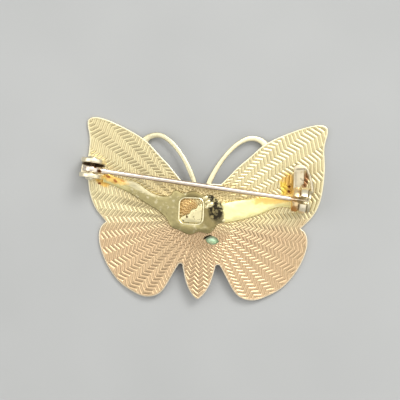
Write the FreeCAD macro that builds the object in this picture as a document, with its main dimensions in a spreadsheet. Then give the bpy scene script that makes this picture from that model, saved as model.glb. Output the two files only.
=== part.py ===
import FreeCAD, Part
import math
import os

from FreeCAD import Placement, Rotation, Vector

# Butterfly brooch lying on its front, with its pin side up.
# Millimetres, +Z up. The origin is on the resting plane, under the middle of the part.
# Outlines are given about the centre of the wings' stamped pattern, and every
# sub-part is then moved by centre_y onto the origin.

DIMENSIONS = [
    # name, value
    ("centre_y", -1.77),
    ("lean", 0.29),
    ("spread", 0.037),
    ("plate_thickness", 0.6),
    ("plate_rise", 1.8),
    ("plate_slope", 8.0),
    ("plate_flat_x", 17.0),
    ("slab_half_width", 25.0),
    ("slab_length", 60.0),
    ("blank_height", 5.0),
    ("strap_thickness", 0.55),
    ("window_x", -2.0),
    ("window_y", 1.45),
    ("window_width", 4.3),
    ("window_depth", 4.7),
    ("window_corner", 1.0),
    ("axis_height", 3.72),
    ("pin_turn", -6.3),
    ("hinge_x", -20.9),
    ("hinge_y", 8.61),
    ("ear_shift", 0.22),
    ("ear_radius", 2.2),
    ("ear_thickness", 0.85),
    ("ear_pitch", 2.85),
    ("ear_foot", 0.4),
    ("ear_bore_radius", 0.52),
    ("bridge_top", 1.15),
    ("rivet_radius", 0.5),
    ("rivet_head_radius", 1.05),
    ("rivet_head_height", 0.45),
    ("rivet_head_gap", 0.04),
    ("eye_radius", 1.7),
    ("eye_width", 1.1),
    ("eye_bore_radius", 0.57),
    ("stem_radius", 0.45),
    ("collar_radius", 0.62),
    ("collar_end", 3.1),
    ("taper_start", 36.5),
    ("stem_length", 41.0),
    ("point_radius", 0.07),
    ("catch_along", 40.0),
    ("hook_outer_radius", 2.45),
    ("hook_inner_radius", 1.95),
    ("hook_width", 1.3),
    ("hook_mouth", 36.0),
    ("foot_width", 2.0),
    ("sleeve_radius", 1.88),
    ("sleeve_bore_radius", 1.42),
    ("sleeve_sink", 0.1),
    ("cheek_radius", 2.3),
    ("inner_cheek_width", 1.3),
    ("outer_cheek_width", 0.6),
    ("cheek_gap", 0.1),
    ("opening_length", 6.0),
    ("slot_width", 1.1),
    ("lever_thickness", 0.9),
    ("stone_x", 2.14),
    ("stone_y", -3.92),
    ("stone_half_length", 1.55),
    ("stone_half_width", 1.1),
    ("stone_table_height", 0.62),
    ("stone_girdle_height", 1.0),
    ("stone_girdle", 0.15),
    ("stone_culet_height", 2.05),
    ("hole_half_length", 1.3),
    ("hole_half_width", 0.82),
    ("cup_wall", 0.4),
    ("cup_gap", 0.06),
    ("cup_bottom", 0.5),
    ("cup_top", 2.0),
]

# Right half of the plate's outline about the pattern's centre, from the tail to the
# antenna. Each run is smooth, and the runs meet in corners.
TAIL_SIDE = [
    # x, y
    (0.45, -14.86), (1.05, -14.27), (1.80, -13.13), (2.38, -11.80), (2.76, -10.47), (3.10, -9.05),
]
TAIL_TIP_Y = -15.07
TAIL_NOTCH_TOP = (3.50, -8.52)
LOWER_WING = [
    # x, y
    (3.95, -8.85), (4.75, -10.20), (5.60, -11.80), (6.44, -13.20), (7.30, -14.20), (8.55, -14.85),
    (9.80, -15.05), (11.2, -14.85), (12.6, -14.25), (14.6, -13.15), (16.5, -11.40), (18.1, -9.10),
    (19.2, -6.70), (19.75, -4.60), (19.72, -2.90), (19.25, -1.80), (18.50, -1.14),
]
UPPER_WING = [
    # x, y
    (18.50, -1.14), (19.70, 0.10), (20.75, 1.45), (21.55, 3.10), (22.10, 5.20), (22.42, 8.20),
    (22.46, 11.2), (22.27, 13.9), (22.45, 15.5), (22.80, 17.1), (22.62, 18.15), (21.50, 18.62),
    (20.00, 18.45), (18.30, 17.96), (16.40, 17.20), (14.40, 16.30), (11.90, 14.95),
]
ANTENNA_OUTSIDE = [
    # x, y
    (11.90, 14.95), (10.85, 15.68), (9.40, 16.07), (8.10, 15.95), (6.93, 15.36), (5.50, 14.25),
    (4.16, 12.72), (2.90, 10.95), (1.80, 9.02), (0.85, 6.75),
]
ANTENNA_INSIDE = [
    # x, y
    (1.85, 6.75), (2.85, 9.02), (4.25, 11.45), (5.88, 13.40), (7.40, 14.60), (8.93, 15.10),
    (10.05, 14.85), (10.77, 14.18),
]
WING_TOP = [
    # x, y
    (10.77, 14.18), (9.60, 13.03), (8.05, 11.50), (6.45, 9.98), (5.10, 8.45), (4.00, 7.22), (3.55, 6.75),
]
FORK_BOTTOM_Y = 6.30

# The strap soldered across the back, about the pattern's centre: round the scalloped
# middle, out along the right arm, and back along the left one.
STRAP_MIDDLE_TOP = [
    # x, y
    (-5.90, 4.40), (-4.95, 5.30), (-3.75, 4.80), (-1.60, 5.30), (-0.10, 4.65), (1.60, 4.62),
    (2.70, 4.00), (3.70, 3.05),
]
STRAP_RIGHT_TOP = [
    # x, y
    (3.70, 3.05), (8.05, 4.05), (10.80, 4.50), (16.80, 5.40),
]
STRAP_RIGHT_END = (20.30, 4.10)
STRAP_RIGHT_BOTTOM = [
    # x, y
    (16.60, 2.75), (14.20, 2.70), (11.20, 1.42), (8.25, 0.38), (3.50, -0.60),
]
STRAP_MIDDLE_BOTTOM = [
    # x, y
    (3.50, -0.60), (2.85, -1.15), (2.30, -2.05), (1.00, -2.65), (-0.35, -2.35), (-1.80, -2.95),
    (-3.05, -2.75), (-4.25, -2.20), (-5.15, -1.95), (-6.15, -1.00),
]
STRAP_LEFT_BOTTOM = [
    # x, y
    (-6.15, -1.00), (-7.25, 0.48), (-10.10, 2.30), (-14.50, 4.75), (-18.90, 6.30),
]
STRAP_LEFT_TOP = [
    # x, y
    (-18.90, 8.90), (-16.40, 7.30), (-12.10, 6.30), (-10.25, 5.00), (-8.25, 4.20), (-5.90, 4.40),
]

# The catch's thumb lever in plan, along the pin and across it, about the middle of the
# catch. It leans back along the pin, with a stout arm there and a bowed one beyond.
LEVER_BOWED_ARM = [
    # along, across
    (1.35, 0.00), (1.70, 1.60), (1.45, 3.10), (0.90, 4.60), (0.10, 6.00),
]
LEVER_TIP = [
    # along, across
    (0.10, 6.00), (-0.45, 6.40), (-2.10, 6.50), (-2.62, 6.05),
]
LEVER_STOUT_ARM = [
    # along, across
    (-2.62, 6.05), (-2.30, 3.20), (-1.95, 0.00),
]
LEVER_WINDOW_BOWED = [
    # along, across
    (0.80, 0.00), (1.15, 1.60), (0.92, 3.00), (0.40, 4.40), (-0.30, 5.60),
]
LEVER_WINDOW_STOUT = [
    # along, across
    (-0.30, 5.60), (-0.62, 5.45), (-0.40, 4.20), (-0.32, 3.05), (-0.78, 2.75), (-0.78, 0.00),
]

STONE_SIDES = 12
TABLE_SCALE = 0.58
STONE_TURN = -8.0
WEDGE_EDGE = 0.001
OUTPUT_FOLDER = "parts"


def add_sheet(document):
    """Write the driving dimensions into a spreadsheet, each cell under its alias."""
    sheet = document.addObject("Spreadsheet::Sheet", "Sizes")
    for row, (name, value) in enumerate(DIMENSIONS, start=1):
        sheet.set(f"A{row}", name)
        sheet.set(f"B{row}", str(value))
        sheet.setAlias(f"B{row}", name)
    document.recompute()
    return sheet


class Sizes:
    """Reads a dimension back from the spreadsheet by its name."""

    def __init__(self, sheet):
        self.sheet = sheet

    def __getattr__(self, name):
        return float(getattr(self.sheet, name))


def bind(item, **expressions):
    """Bind properties to spreadsheet cells; a double underscore stands for a dot."""
    for path, expression in expressions.items():
        item.setExpression(path.replace("__", "."), expression)


def place(item, x="0", y="0", z="0", turn=None):
    """Bind an object's place, and its turn about +Z in degrees, to the spreadsheet."""
    item.setExpression("Placement.Base.x", x)
    item.setExpression("Placement.Base.y", y)
    item.setExpression("Placement.Base.z", z)
    if turn:
        item.setExpression("Placement.Rotation.Angle", turn)


def part_object(document, kind, name, **expressions):
    """Add a solid primitive and bind its sizes."""
    item = document.addObject(kind, name)
    bind(item, **expressions)
    return item


def axle_cylinder(document, name, radius, height, middle, along):
    """Add a cylinder that lies along local X or Y, centred at a place on that axis."""
    item = part_object(document, "Part::Cylinder", name, Radius=radius, Height=height)
    axis = Vector(1, 0, 0) if along == "x" else Vector(0, 1, 0)
    item.Placement = Placement(Vector(), Rotation(Vector(0, 0, 1), axis))
    item.setExpression(f"Placement.Base.{along}", f"({middle}) - ({height}) / 2")
    return item


def join(document, name, *items):
    """Fuse several objects into one solid."""
    item = document.addObject("Part::MultiFuse", name)
    item.Shapes = list(items)
    item.Refine = False
    return item


def cut(document, name, base, tool):
    """Cut one object out of another."""
    item = document.addObject("Part::Cut", name)
    item.Base = base
    item.Tool = tool
    item.Refine = False
    return item


def overlap(document, name, first, second):
    """Keep what two objects have in common."""
    item = document.addObject("Part::Common", name)
    item.Base = first
    item.Tool = second
    item.Refine = False
    return item


def origin_plane(body, role):
    """Find one of a body's own origin planes by its role."""
    for feature in body.Origin.OriginFeatures:
        if feature.Role == role:
            return feature
    raise ValueError(f"no plane {role}")


def padded_sketch(document, name, edges, length, plane="XY_Plane", both_ways=False):
    """Make a body by padding a closed outline, given as a list of curves."""
    body = document.addObject("PartDesign::Body", name)
    sketch = body.newObject("Sketcher::SketchObject", name + "_outline")
    sketch.AttachmentSupport = [(origin_plane(body, plane), "")]
    sketch.MapMode = "FlatFace"
    sketch.addGeometry(edges, False)
    pad = body.newObject("PartDesign::Pad", name + "_pad")
    pad.Profile = sketch
    if both_ways:
        pad.Midplane = True
    pad.setExpression("Length", length)
    sketch.Visibility = False
    return body


def line(start, end):
    """A straight run between two (x, y) points."""
    return Part.LineSegment(Vector(*start, 0), Vector(*end, 0))


def arc(start, middle, end):
    """An arc through three (x, y) points."""
    return Part.Arc(Vector(*start, 0), Vector(*middle, 0), Vector(*end, 0))


def curve(points):
    """A smooth curve through (x, y) points."""
    spline = Part.BSplineCurve()
    spline.interpolate([Vector(x, y, 0) for x, y in points])
    return spline


class PlateOutline:
    """The plate's outline: both halves from one table, the right one reaching further."""

    def __init__(self, sizes):
        self.lean = sizes.lean
        self.spread = sizes.spread

    def side(self, points, hand):
        """Take a table to one side: hand is 1 on the right and -1 on the left."""
        scale = 1 + hand * self.spread
        return [(hand * x * scale - self.lean, y) for x, y in points]

    def half(self, hand):
        """Curves of one half, from the tail's tip to the foot of the antenna."""
        tail = self.side(TAIL_SIDE, hand)
        wing = self.side(LOWER_WING, hand)
        notch = self.side([TAIL_NOTCH_TOP], hand)[0]
        return [
            curve(tail),
            arc(tail[-1], notch, wing[0]),
            curve(wing),
            curve(self.side(UPPER_WING, hand)),
            curve(self.side(ANTENNA_OUTSIDE, hand)),
        ]

    def edges(self):
        """The whole outer outline."""
        left_tail = self.side(TAIL_SIDE, -1)[0]
        right_tail = self.side(TAIL_SIDE, 1)[0]
        left_fork = self.side(ANTENNA_OUTSIDE, -1)[-1]
        right_fork = self.side(ANTENNA_OUTSIDE, 1)[-1]
        tip = arc(left_tail, (-self.lean, TAIL_TIP_Y), right_tail)
        fork = arc(left_fork, (-self.lean, FORK_BOTTOM_Y), right_fork)
        return self.half(1) + self.half(-1) + [tip, fork]

    def loops(self):
        """The openings inside the two antennae."""
        found = []
        for hand in (1, -1):
            inside = self.side(ANTENNA_INSIDE, hand)
            top = self.side(WING_TOP, hand)
            found += [curve(inside), curve(top), line(top[-1], inside[0])]
        return found



def bend_section(sizes, lower, upper):
    """Section of a bent plate in X and Z, between two offsets from its front face.

    The middle is an arc, then comes a straight slope, and an arc runs out into the flat.
    """
    slope = math.radians(sizes.plate_slope)
    sine, cosine = math.sin(slope), math.cos(slope)
    reach, rise = sizes.plate_flat_x, sizes.plate_rise
    radius = (reach * sine - rise * cosine) / (2 * (1 - cosine))
    run = (reach - 2 * radius * sine) / cosine
    edge = sizes.slab_half_width

    def face(offset):
        """Points of one face, from the middle out: crown, slope's two ends, flat's two ends."""
        crown_centre = rise - radius
        foot_centre = radius
        inner, outer = radius + offset, radius - offset
        crown_end = (inner * sine, crown_centre + inner * cosine)
        crown_middle = (inner * math.sin(slope / 2), crown_centre + inner * math.cos(slope / 2))
        foot_start = (reach - outer * sine, foot_centre - outer * cosine)
        foot_middle = (reach - outer * math.sin(slope / 2), foot_centre - outer * math.cos(slope / 2))
        return crown_end, crown_middle, foot_start, foot_middle, (reach, offset), (edge, offset)

    def mirrored(point):
        """The same point on the other side of the middle."""
        return (-point[0], point[1])

    edges = []
    for offset in (lower, upper):
        crown_end, _, foot_start, foot_middle, flat_start, flat_end = face(offset)
        edges.append(arc(mirrored(crown_end), (0, rise + offset), crown_end))
        for turn in (lambda point: point, mirrored):
            edges.append(line(turn(crown_end), turn(foot_start)))
            edges.append(arc(turn(foot_start), turn(foot_middle), turn(flat_start)))
            edges.append(line(turn(flat_start), turn(flat_end)))
    for hand in (1, -1):
        edges.append(line((hand * edge, lower), (hand * edge, upper)))
    if run < 0:
        raise ValueError("the plate's slope is too steep for its rise")
    return edges


def bent_plate(document, sizes, name, outline, lower, upper):
    """An outline cut from a bent plate, between two offsets from the plate's front."""
    blank = padded_sketch(document, name + "_blank", outline, "Sizes.blank_height")
    slab = padded_sketch(
        document, name + "_slab", bend_section(sizes, lower, upper), "Sizes.slab_length",
        plane="XZ_Plane", both_ways=True,
    )
    return overlap(document, name, blank, slab)


def rounded_window(sizes):
    """The strap's window: a rectangle with round corners."""
    half_x, half_y = sizes.window_width / 2, sizes.window_depth / 2
    corner = sizes.window_corner
    diagonal = corner * (1 - math.sqrt(0.5))
    edges = []
    for hand_x, hand_y in ((1, 1), (-1, 1), (-1, -1), (1, -1)):
        x, y = sizes.window_x + hand_x * half_x, sizes.window_y + hand_y * half_y
        beside = (x, y - hand_y * corner)
        above = (x - hand_x * corner, y)
        edges.append(arc(beside, (x - hand_x * diagonal, y - hand_y * diagonal), above))
    for hand in (1, -1):
        x, y = sizes.window_x, sizes.window_y + hand * half_y
        edges.append(line((x - half_x + corner, y), (x + half_x - corner, y)))
        x, y = sizes.window_x + hand * half_x, sizes.window_y
        edges.append(line((x, y - half_y + corner), (x, y + half_y - corner)))
    return edges


def strap_outline():
    """The strap's outer outline."""
    edges = [curve(table) for table in (
        STRAP_MIDDLE_TOP, STRAP_RIGHT_TOP, STRAP_RIGHT_BOTTOM, STRAP_MIDDLE_BOTTOM,
        STRAP_LEFT_BOTTOM, STRAP_LEFT_TOP,
    )]
    edges.append(arc(STRAP_RIGHT_TOP[-1], STRAP_RIGHT_END, STRAP_RIGHT_BOTTOM[0]))
    edges.append(line(STRAP_LEFT_BOTTOM[-1], STRAP_LEFT_TOP[0]))
    return edges


def stone_hole(sizes):
    """The lens-shaped hole behind the stone."""
    turn = math.radians(STONE_TURN)

    def point(along, across):
        """A point of the hole, turned with the stone."""
        x = sizes.stone_x + along * math.cos(turn) - across * math.sin(turn)
        y = sizes.stone_y + along * math.sin(turn) + across * math.cos(turn)
        return (x, y)

    tips = point(-sizes.hole_half_length, 0), point(sizes.hole_half_length, 0)
    return [arc(tips[0], point(0, hand * sizes.hole_half_width), tips[1]) for hand in (1, -1)]


def make_hinge_bracket(document):
    """Two upright round ears on a bridge, about the rivet's centre, along the pin."""
    ears = []
    for hand, side in ((1, "far"), (-1, "near")):
        middle = f"{hand} * Sizes.ear_pitch / 2 + Sizes.ear_shift"
        disc = axle_cylinder(document, f"ear_disc_{side}", "Sizes.ear_radius", "Sizes.ear_thickness", middle, "y")
        leg = part_object(
            document, "Part::Box", f"ear_leg_{side}", Length="Sizes.ear_radius * 2",
            Width="Sizes.ear_thickness", Height="Sizes.axis_height - Sizes.ear_foot",
        )
        place(leg, "-Sizes.ear_radius", f"{middle} - Sizes.ear_thickness / 2", "Sizes.ear_foot - Sizes.axis_height")
        ears += [disc, leg]
    bridge = part_object(
        document, "Part::Box", "hinge_bridge", Length="Sizes.ear_radius * 2",
        Width="Sizes.ear_pitch", Height="Sizes.bridge_top - Sizes.ear_foot",
    )
    place(
        bridge, "-Sizes.ear_radius", "Sizes.ear_shift - Sizes.ear_pitch / 2",
        "Sizes.ear_foot - Sizes.axis_height",
    )
    whole = join(document, "hinge_bracket_blank", *ears, bridge)
    bore = axle_cylinder(document, "ear_bore", "Sizes.ear_bore_radius", "Sizes.ear_pitch * 2", "Sizes.ear_shift", "y")
    bracket = cut(document, "hinge_bracket", whole, bore)
    place(bracket, "Sizes.hinge_x", "Sizes.hinge_y", "Sizes.axis_height", "Sizes.pin_turn")
    return bracket


def make_hook(document):
    """The catch's open band, its mouth upward, with its foot on the strap."""
    outer = axle_cylinder(
        document, "hook_outer", "Sizes.hook_outer_radius", "Sizes.hook_width", "Sizes.catch_along", "x"
    )
    inner = axle_cylinder(
        document, "hook_inner", "Sizes.hook_inner_radius", "Sizes.hook_width * 2", "Sizes.catch_along", "x"
    )
    ring = cut(document, "hook_ring", outer, inner)
    mouth = document.addObject("Part::Wedge", "hook_mouth")
    half = "Sizes.hook_outer_radius * 2 * tan(Sizes.hook_mouth / 2 * 1 deg)"
    bind(
        mouth, Xmin="-Sizes.hook_width", Xmax="Sizes.hook_width",
        X2min="-Sizes.hook_width", X2max="Sizes.hook_width",
        Ymin="0", Ymax="Sizes.hook_outer_radius * 2",
        Zmin=f"-{WEDGE_EDGE}", Zmax=str(WEDGE_EDGE), Z2min="-" + half, Z2max=half,
    )
    mouth.Placement = Placement(Vector(), Rotation(Vector(1, 0, 0), 90))
    mouth.setExpression("Placement.Base.x", "Sizes.catch_along")
    band = cut(document, "hook_band", ring, mouth)
    foot = part_object(
        document, "Part::Box", "hook_foot", Length="Sizes.hook_width", Width="Sizes.foot_width",
        Height="Sizes.axis_height - (Sizes.hook_outer_radius + Sizes.hook_inner_radius) / 2 - Sizes.ear_foot",
    )
    place(
        foot, "Sizes.catch_along - Sizes.hook_width / 2", "-Sizes.foot_width / 2",
        "Sizes.ear_foot - Sizes.axis_height",
    )
    hook = join(document, "catch_hook", band, foot)
    place(hook, "Sizes.hinge_x", "Sizes.hinge_y", "Sizes.axis_height", "Sizes.pin_turn")
    return hook


def make_stone_cup(document, sizes):
    """An oval wall on the plate's front that holds the stone."""
    walls = []
    for name, extra in (("outer", "Sizes.cup_gap + Sizes.cup_wall"), ("inner", "Sizes.cup_gap")):
        wall = part_object(
            document, "Part::Ellipse", f"cup_{name}_edge",
            MajorRadius=f"Sizes.stone_half_length + {extra}", MinorRadius=f"Sizes.stone_half_width + {extra}",
        )
        solid = document.addObject("Part::Extrusion", f"cup_{name}")
        solid.Base = wall
        solid.DirMode = "Custom"
        solid.Dir = Vector(0, 0, 1)
        solid.Solid = True
        bind(solid, LengthFwd="Sizes.cup_top - Sizes.cup_bottom")
        walls.append(solid)
    cup = cut(document, "stone_cup", *walls)
    cup.Placement = Placement(Vector(), Rotation(Vector(0, 0, 1), STONE_TURN))
    place(cup, "Sizes.stone_x", "Sizes.stone_y", "Sizes.cup_bottom")
    return cup


def make_butterfly(document, sizes):
    """The stamped plate with all that is soldered to it, as one solid."""
    outline = PlateOutline(sizes)
    plate = bent_plate(
        document, sizes, "plate", outline.edges() + outline.loops() + stone_hole(sizes),
        0.0, sizes.plate_thickness,
    )
    strap = bent_plate(
        document, sizes, "strap", strap_outline() + rounded_window(sizes),
        sizes.plate_thickness / 2, sizes.plate_thickness + sizes.strap_thickness,
    )
    whole = join(
        document, "butterfly", plate, strap, make_hinge_bracket(document), make_hook(document),
        make_stone_cup(document, sizes),
    )
    place(whole, y="Sizes.centre_y")
    return whole


def make_rivet(document):
    """The hinge's rivet with a domed head at each end."""
    shank = axle_cylinder(
        document, "rivet_shank", "Sizes.rivet_radius",
        "Sizes.ear_pitch + Sizes.ear_thickness + 2 * Sizes.rivet_head_gap + Sizes.rivet_head_height",
        "Sizes.ear_shift", "y",
    )
    heads = []
    for hand, side in ((1, "far"), (-1, "near")):
        head = part_object(
            document, "Part::Ellipsoid", f"rivet_head_{side}", Radius1="Sizes.rivet_head_height",
            Radius2="Sizes.rivet_head_radius", Radius3="Sizes.rivet_head_radius",
        )
        head.Angle1 = 0
        head.Placement = Placement(Vector(), Rotation(Vector(1, 0, 0), -90 * hand))
        head.setExpression(
            "Placement.Base.y",
            f"{hand} * ((Sizes.ear_pitch + Sizes.ear_thickness) / 2 + Sizes.rivet_head_gap) + Sizes.ear_shift",
        )
        heads.append(head)
    rivet = join(document, "hinge_rivet", shank, *heads)
    place(rivet, "Sizes.hinge_x", "Sizes.hinge_y + Sizes.centre_y", "Sizes.axis_height", "Sizes.pin_turn")
    return rivet


def make_pin_stem(document):
    """The pin: a flat eye, a collar, a straight stem and a tapering point."""
    eye = axle_cylinder(document, "pin_eye", "Sizes.eye_radius", "Sizes.eye_width", "0", "y")
    start = "Sizes.eye_radius / 2"
    collar = axle_cylinder(
        document, "pin_collar", "Sizes.collar_radius", f"Sizes.collar_end - {start}",
        f"(Sizes.collar_end + {start}) / 2", "x",
    )
    stem = axle_cylinder(
        document, "pin_shank", "Sizes.stem_radius", f"Sizes.taper_start - {start}",
        f"(Sizes.taper_start + {start}) / 2", "x",
    )
    point = part_object(
        document, "Part::Cone", "pin_point", Radius1="Sizes.stem_radius", Radius2="Sizes.point_radius",
        Height="Sizes.stem_length - Sizes.taper_start",
    )
    point.Placement = Placement(Vector(), Rotation(Vector(0, 0, 1), Vector(1, 0, 0)))
    point.setExpression("Placement.Base.x", "Sizes.taper_start")
    blank = join(document, "pin_blank", eye, collar, stem, point)
    bore = axle_cylinder(document, "pin_bore", "Sizes.eye_bore_radius", "Sizes.eye_width * 2", "0", "y")
    pin = cut(document, "pin_stem", blank, bore)
    place(pin, "Sizes.hinge_x", "Sizes.hinge_y + Sizes.centre_y", "Sizes.axis_height", "Sizes.pin_turn")
    return pin


def lever_outline():
    """Plan of the lever: a stout arm and a bowed one, joined by the thumb bar."""
    edges = [curve(table) for table in (LEVER_BOWED_ARM, LEVER_TIP, LEVER_STOUT_ARM, LEVER_WINDOW_BOWED)]
    corners = LEVER_WINDOW_STOUT
    edges += [line(first, second) for first, second in zip(corners, corners[1:])]
    edges.append(line(LEVER_STOUT_ARM[-1], LEVER_WINDOW_STOUT[-1]))
    edges.append(line(LEVER_BOWED_ARM[0], LEVER_WINDOW_BOWED[0]))
    return edges


def make_catch_roller(document):
    """The catch's turning sleeve, with a cheek at each end and a lever for the thumb."""
    sleeve = axle_cylinder(
        document, "sleeve", "Sizes.sleeve_radius", "Sizes.hook_width + 2 * (Sizes.cheek_gap + Sizes.sleeve_sink)", "0", "x"
    )
    cheeks = []
    for hand, side in ((1, "outer"), (-1, "inner")):
        width = f"Sizes.{side}_cheek_width"
        cheeks.append(axle_cylinder(
            document, f"cheek_{side}", "Sizes.cheek_radius", width,
            f"{hand} * (Sizes.hook_width / 2 + Sizes.cheek_gap + {width} / 2)", "x",
        ))
    lever = padded_sketch(document, "lever", lever_outline(), "Sizes.lever_thickness", both_ways=True)
    blank = join(document, "roller_blank", sleeve, *cheeks, lever)
    bore = axle_cylinder(document, "roller_bore", "Sizes.sleeve_bore_radius", "Sizes.opening_length", "0", "x")
    slot = part_object(
        document, "Part::Box", "roller_slot", Length="Sizes.opening_length", Width="Sizes.slot_width",
        Height="Sizes.cheek_radius * 2",
    )
    place(slot, "-Sizes.opening_length / 2", "-Sizes.slot_width / 2")
    opening = join(document, "roller_opening", bore, slot)
    roller = cut(document, "catch_roller", blank, opening)
    place(
        roller, "Sizes.hinge_x + Sizes.catch_along * cos(Sizes.pin_turn * 1 deg)",
        "Sizes.hinge_y + Sizes.catch_along * sin(Sizes.pin_turn * 1 deg) + Sizes.centre_y",
        "Sizes.axis_height", "Sizes.pin_turn",
    )
    return roller


def make_stone(document, sizes):
    """The oval cut stone, its table down: table, crown, girdle and pavilion facets."""
    low = sizes.stone_table_height
    levels = [
        (TABLE_SCALE, low), (1.0, sizes.stone_girdle_height),
        (1.0, sizes.stone_girdle_height + sizes.stone_girdle),
    ]
    rings = []
    for scale, height in levels:
        ring = []
        for step in range(STONE_SIDES):
            angle = 2 * math.pi * (step + 0.5) / STONE_SIDES
            x = scale * sizes.stone_half_length * math.cos(angle)
            y = scale * sizes.stone_half_width * math.sin(angle)
            ring.append(Vector(x, y, height))
        rings.append(ring)
    culet = Vector(0, 0, sizes.stone_culet_height)
    faces = [Part.Face(Part.makePolygon(rings[0] + rings[0][:1]))]
    for step in range(STONE_SIDES):
        after = (step + 1) % STONE_SIDES
        for lower, upper in zip(rings, rings[1:]):
            corners = [lower[step], lower[after], upper[after], upper[step]]
            faces.append(Part.Face(Part.makePolygon(corners + corners[:1])))
        corners = [rings[-1][step], rings[-1][after], culet]
        faces.append(Part.Face(Part.makePolygon(corners + corners[:1])))
    solid = Part.Solid(Part.Shell(faces))
    if solid.Volume < 0:
        solid.reverse()
    stone = document.addObject("Part::Feature", "green_stone")
    stone.Shape = solid
    stone.Placement = Placement(
        Vector(sizes.stone_x, sizes.stone_y + sizes.centre_y, 0), Rotation(Vector(0, 0, 1), STONE_TURN)
    )
    return stone


def check_and_write(document, nodes):
    """Stop on any failed object, then write each sub-part's solid to its own file."""
    document.recompute()
    for item in document.Objects:
        if "Invalid" in item.State or "Error" in item.State:
            raise RuntimeError(f"{item.Label} did not build: {item.State}")
    for node in nodes:
        shape = node.Shape
        if shape.isNull() or not shape.isValid():
            raise RuntimeError(f"{node.Label} has no valid shape")
        if len(shape.Solids) != 1:
            raise RuntimeError(f"{node.Label} is {len(shape.Solids)} solids, not one")
    os.makedirs(OUTPUT_FOLDER, exist_ok=True)
    for node in nodes:
        shape = node.Shape
        shape.exportStep(os.path.join(OUTPUT_FOLDER, node.Label + ".step"))
        box = shape.BoundBox
        print(
            f"{node.Label}: {shape.Volume:.2f} mm3, x {box.XMin:.2f} to {box.XMax:.2f}, "
            f"y {box.YMin:.2f} to {box.YMax:.2f}, z {box.ZMin:.2f} to {box.ZMax:.2f}"
        )


def main():
    """Build the brooch."""
    document = FreeCAD.newDocument("Brooch")
    sizes = Sizes(add_sheet(document))
    nodes = [
        make_butterfly(document, sizes),
        make_rivet(document),
        make_pin_stem(document),
        make_catch_roller(document),
        make_stone(document, sizes),
    ]
    check_and_write(document, nodes)


main()
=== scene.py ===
"""Dressed model of a butterfly brooch that lies on its front, with its pin side up.

Every size is in millimetres, in the part's own frame: +X to the right along the wings,
+Y towards the antennae and +Z up, away from the resting plane. A mesh is changed to
metres where it is made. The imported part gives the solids, and the pieces here give
them their stamped pattern, rounded edges and finishes.
"""

from __future__ import annotations

import logging
import math
from collections.abc import Callable, Sequence
from dataclasses import dataclass, field
from enum import Enum

import bmesh
import bpy
import numpy as np
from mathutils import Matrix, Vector
from mathutils.geometry import delaunay_2d_cdt


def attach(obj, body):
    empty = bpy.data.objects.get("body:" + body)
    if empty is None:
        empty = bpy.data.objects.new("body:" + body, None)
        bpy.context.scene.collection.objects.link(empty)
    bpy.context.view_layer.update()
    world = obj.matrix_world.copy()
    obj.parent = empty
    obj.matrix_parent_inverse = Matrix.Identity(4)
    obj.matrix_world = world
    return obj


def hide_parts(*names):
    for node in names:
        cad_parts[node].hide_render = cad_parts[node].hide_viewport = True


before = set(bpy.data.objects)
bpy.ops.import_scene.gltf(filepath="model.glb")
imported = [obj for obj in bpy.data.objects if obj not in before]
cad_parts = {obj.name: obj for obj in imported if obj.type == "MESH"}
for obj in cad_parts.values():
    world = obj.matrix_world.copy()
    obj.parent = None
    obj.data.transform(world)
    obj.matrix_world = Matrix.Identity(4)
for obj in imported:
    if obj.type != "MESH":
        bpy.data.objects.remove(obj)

Pair = tuple[float, float]
Triple = tuple[float, float, float]
Placer = Callable[[float, float, float], Triple]
Socket = bpy.types.NodeSocket
Input = Socket | float | Triple
Pieces = list[bpy.types.Object]

LOG = logging.getLogger("brooch")
MM = 0.001
CENTRE_Y = -1.77

SHADE = (0.40, 0.32, 0.16)
HEAT = (0.80, 0.46, 0.08)
# scorch specks by the hinge and catch, and the painted shadow in the gap between the lever's arms
SCORCH_AND_SHADOW = (0.20, 0.06, 0.02)
BROWN = (0.16, 0.07, 0.03)
# painted shade deep in the hinge and in the catch's narrow gaps
DEEP_SHADE = (0.05, 0.03, 0.015)
# near black: the painted shadow at the stone's hole and the painted dark reflection on the strap's middle
SHADOW_AND_DARK_REFLECTION = (0.03, 0.025, 0.015)
OLIVE_SHADE = (0.24, 0.19, 0.08)
ROSE_SHADE = (0.42, 0.28, 0.20)
RUST = (0.45, 0.17, 0.05)
TOUCHING = 1e-4
TINY = 1e-6
MITRE_LIMIT = 1.5
MERGE_DISTANCE = 1e-7
BLOCK = 2048
EDGE_ANGLES = (90, 60, 30, 0)
RING_STEP = 0.16
EDGE_STEP = 1.8
PATCH_EDGE = (1.25, 0.7)
PATCH_WOBBLE = 4.0

TAIL_SIDE = [
    (0.45, -14.86), (1.05, -14.27), (1.80, -13.13), (2.38, -11.80), (2.76, -10.47), (3.10, -9.05),
]
TAIL_TIP_Y = -15.07
TAIL_NOTCH_TOP = (3.50, -8.52)
LOWER_WING = [
    (3.95, -8.85), (4.75, -10.20), (5.60, -11.80), (6.44, -13.20), (7.30, -14.20), (8.55, -14.85),
    (9.80, -15.05), (11.2, -14.85), (12.6, -14.25), (14.6, -13.15), (16.5, -11.40), (18.1, -9.10),
    (19.2, -6.70), (19.75, -4.60), (19.72, -2.90), (19.25, -1.80), (18.50, -1.14),
]
UPPER_WING = [
    (18.50, -1.14), (19.70, 0.10), (20.75, 1.45), (21.55, 3.10), (22.10, 5.20), (22.42, 8.20),
    (22.46, 11.2), (22.27, 13.9), (22.45, 15.5), (22.80, 17.1), (22.62, 18.15), (21.50, 18.62),
    (20.00, 18.45), (18.30, 17.96), (16.40, 17.20), (14.40, 16.30), (11.90, 14.95),
]
ANTENNA_OUTSIDE = [
    (11.90, 14.95), (10.85, 15.68), (9.40, 16.07), (8.10, 15.95), (6.93, 15.36), (5.50, 14.25),
    (4.16, 12.72), (2.90, 10.95), (1.80, 9.02), (0.85, 6.75),
]
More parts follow.
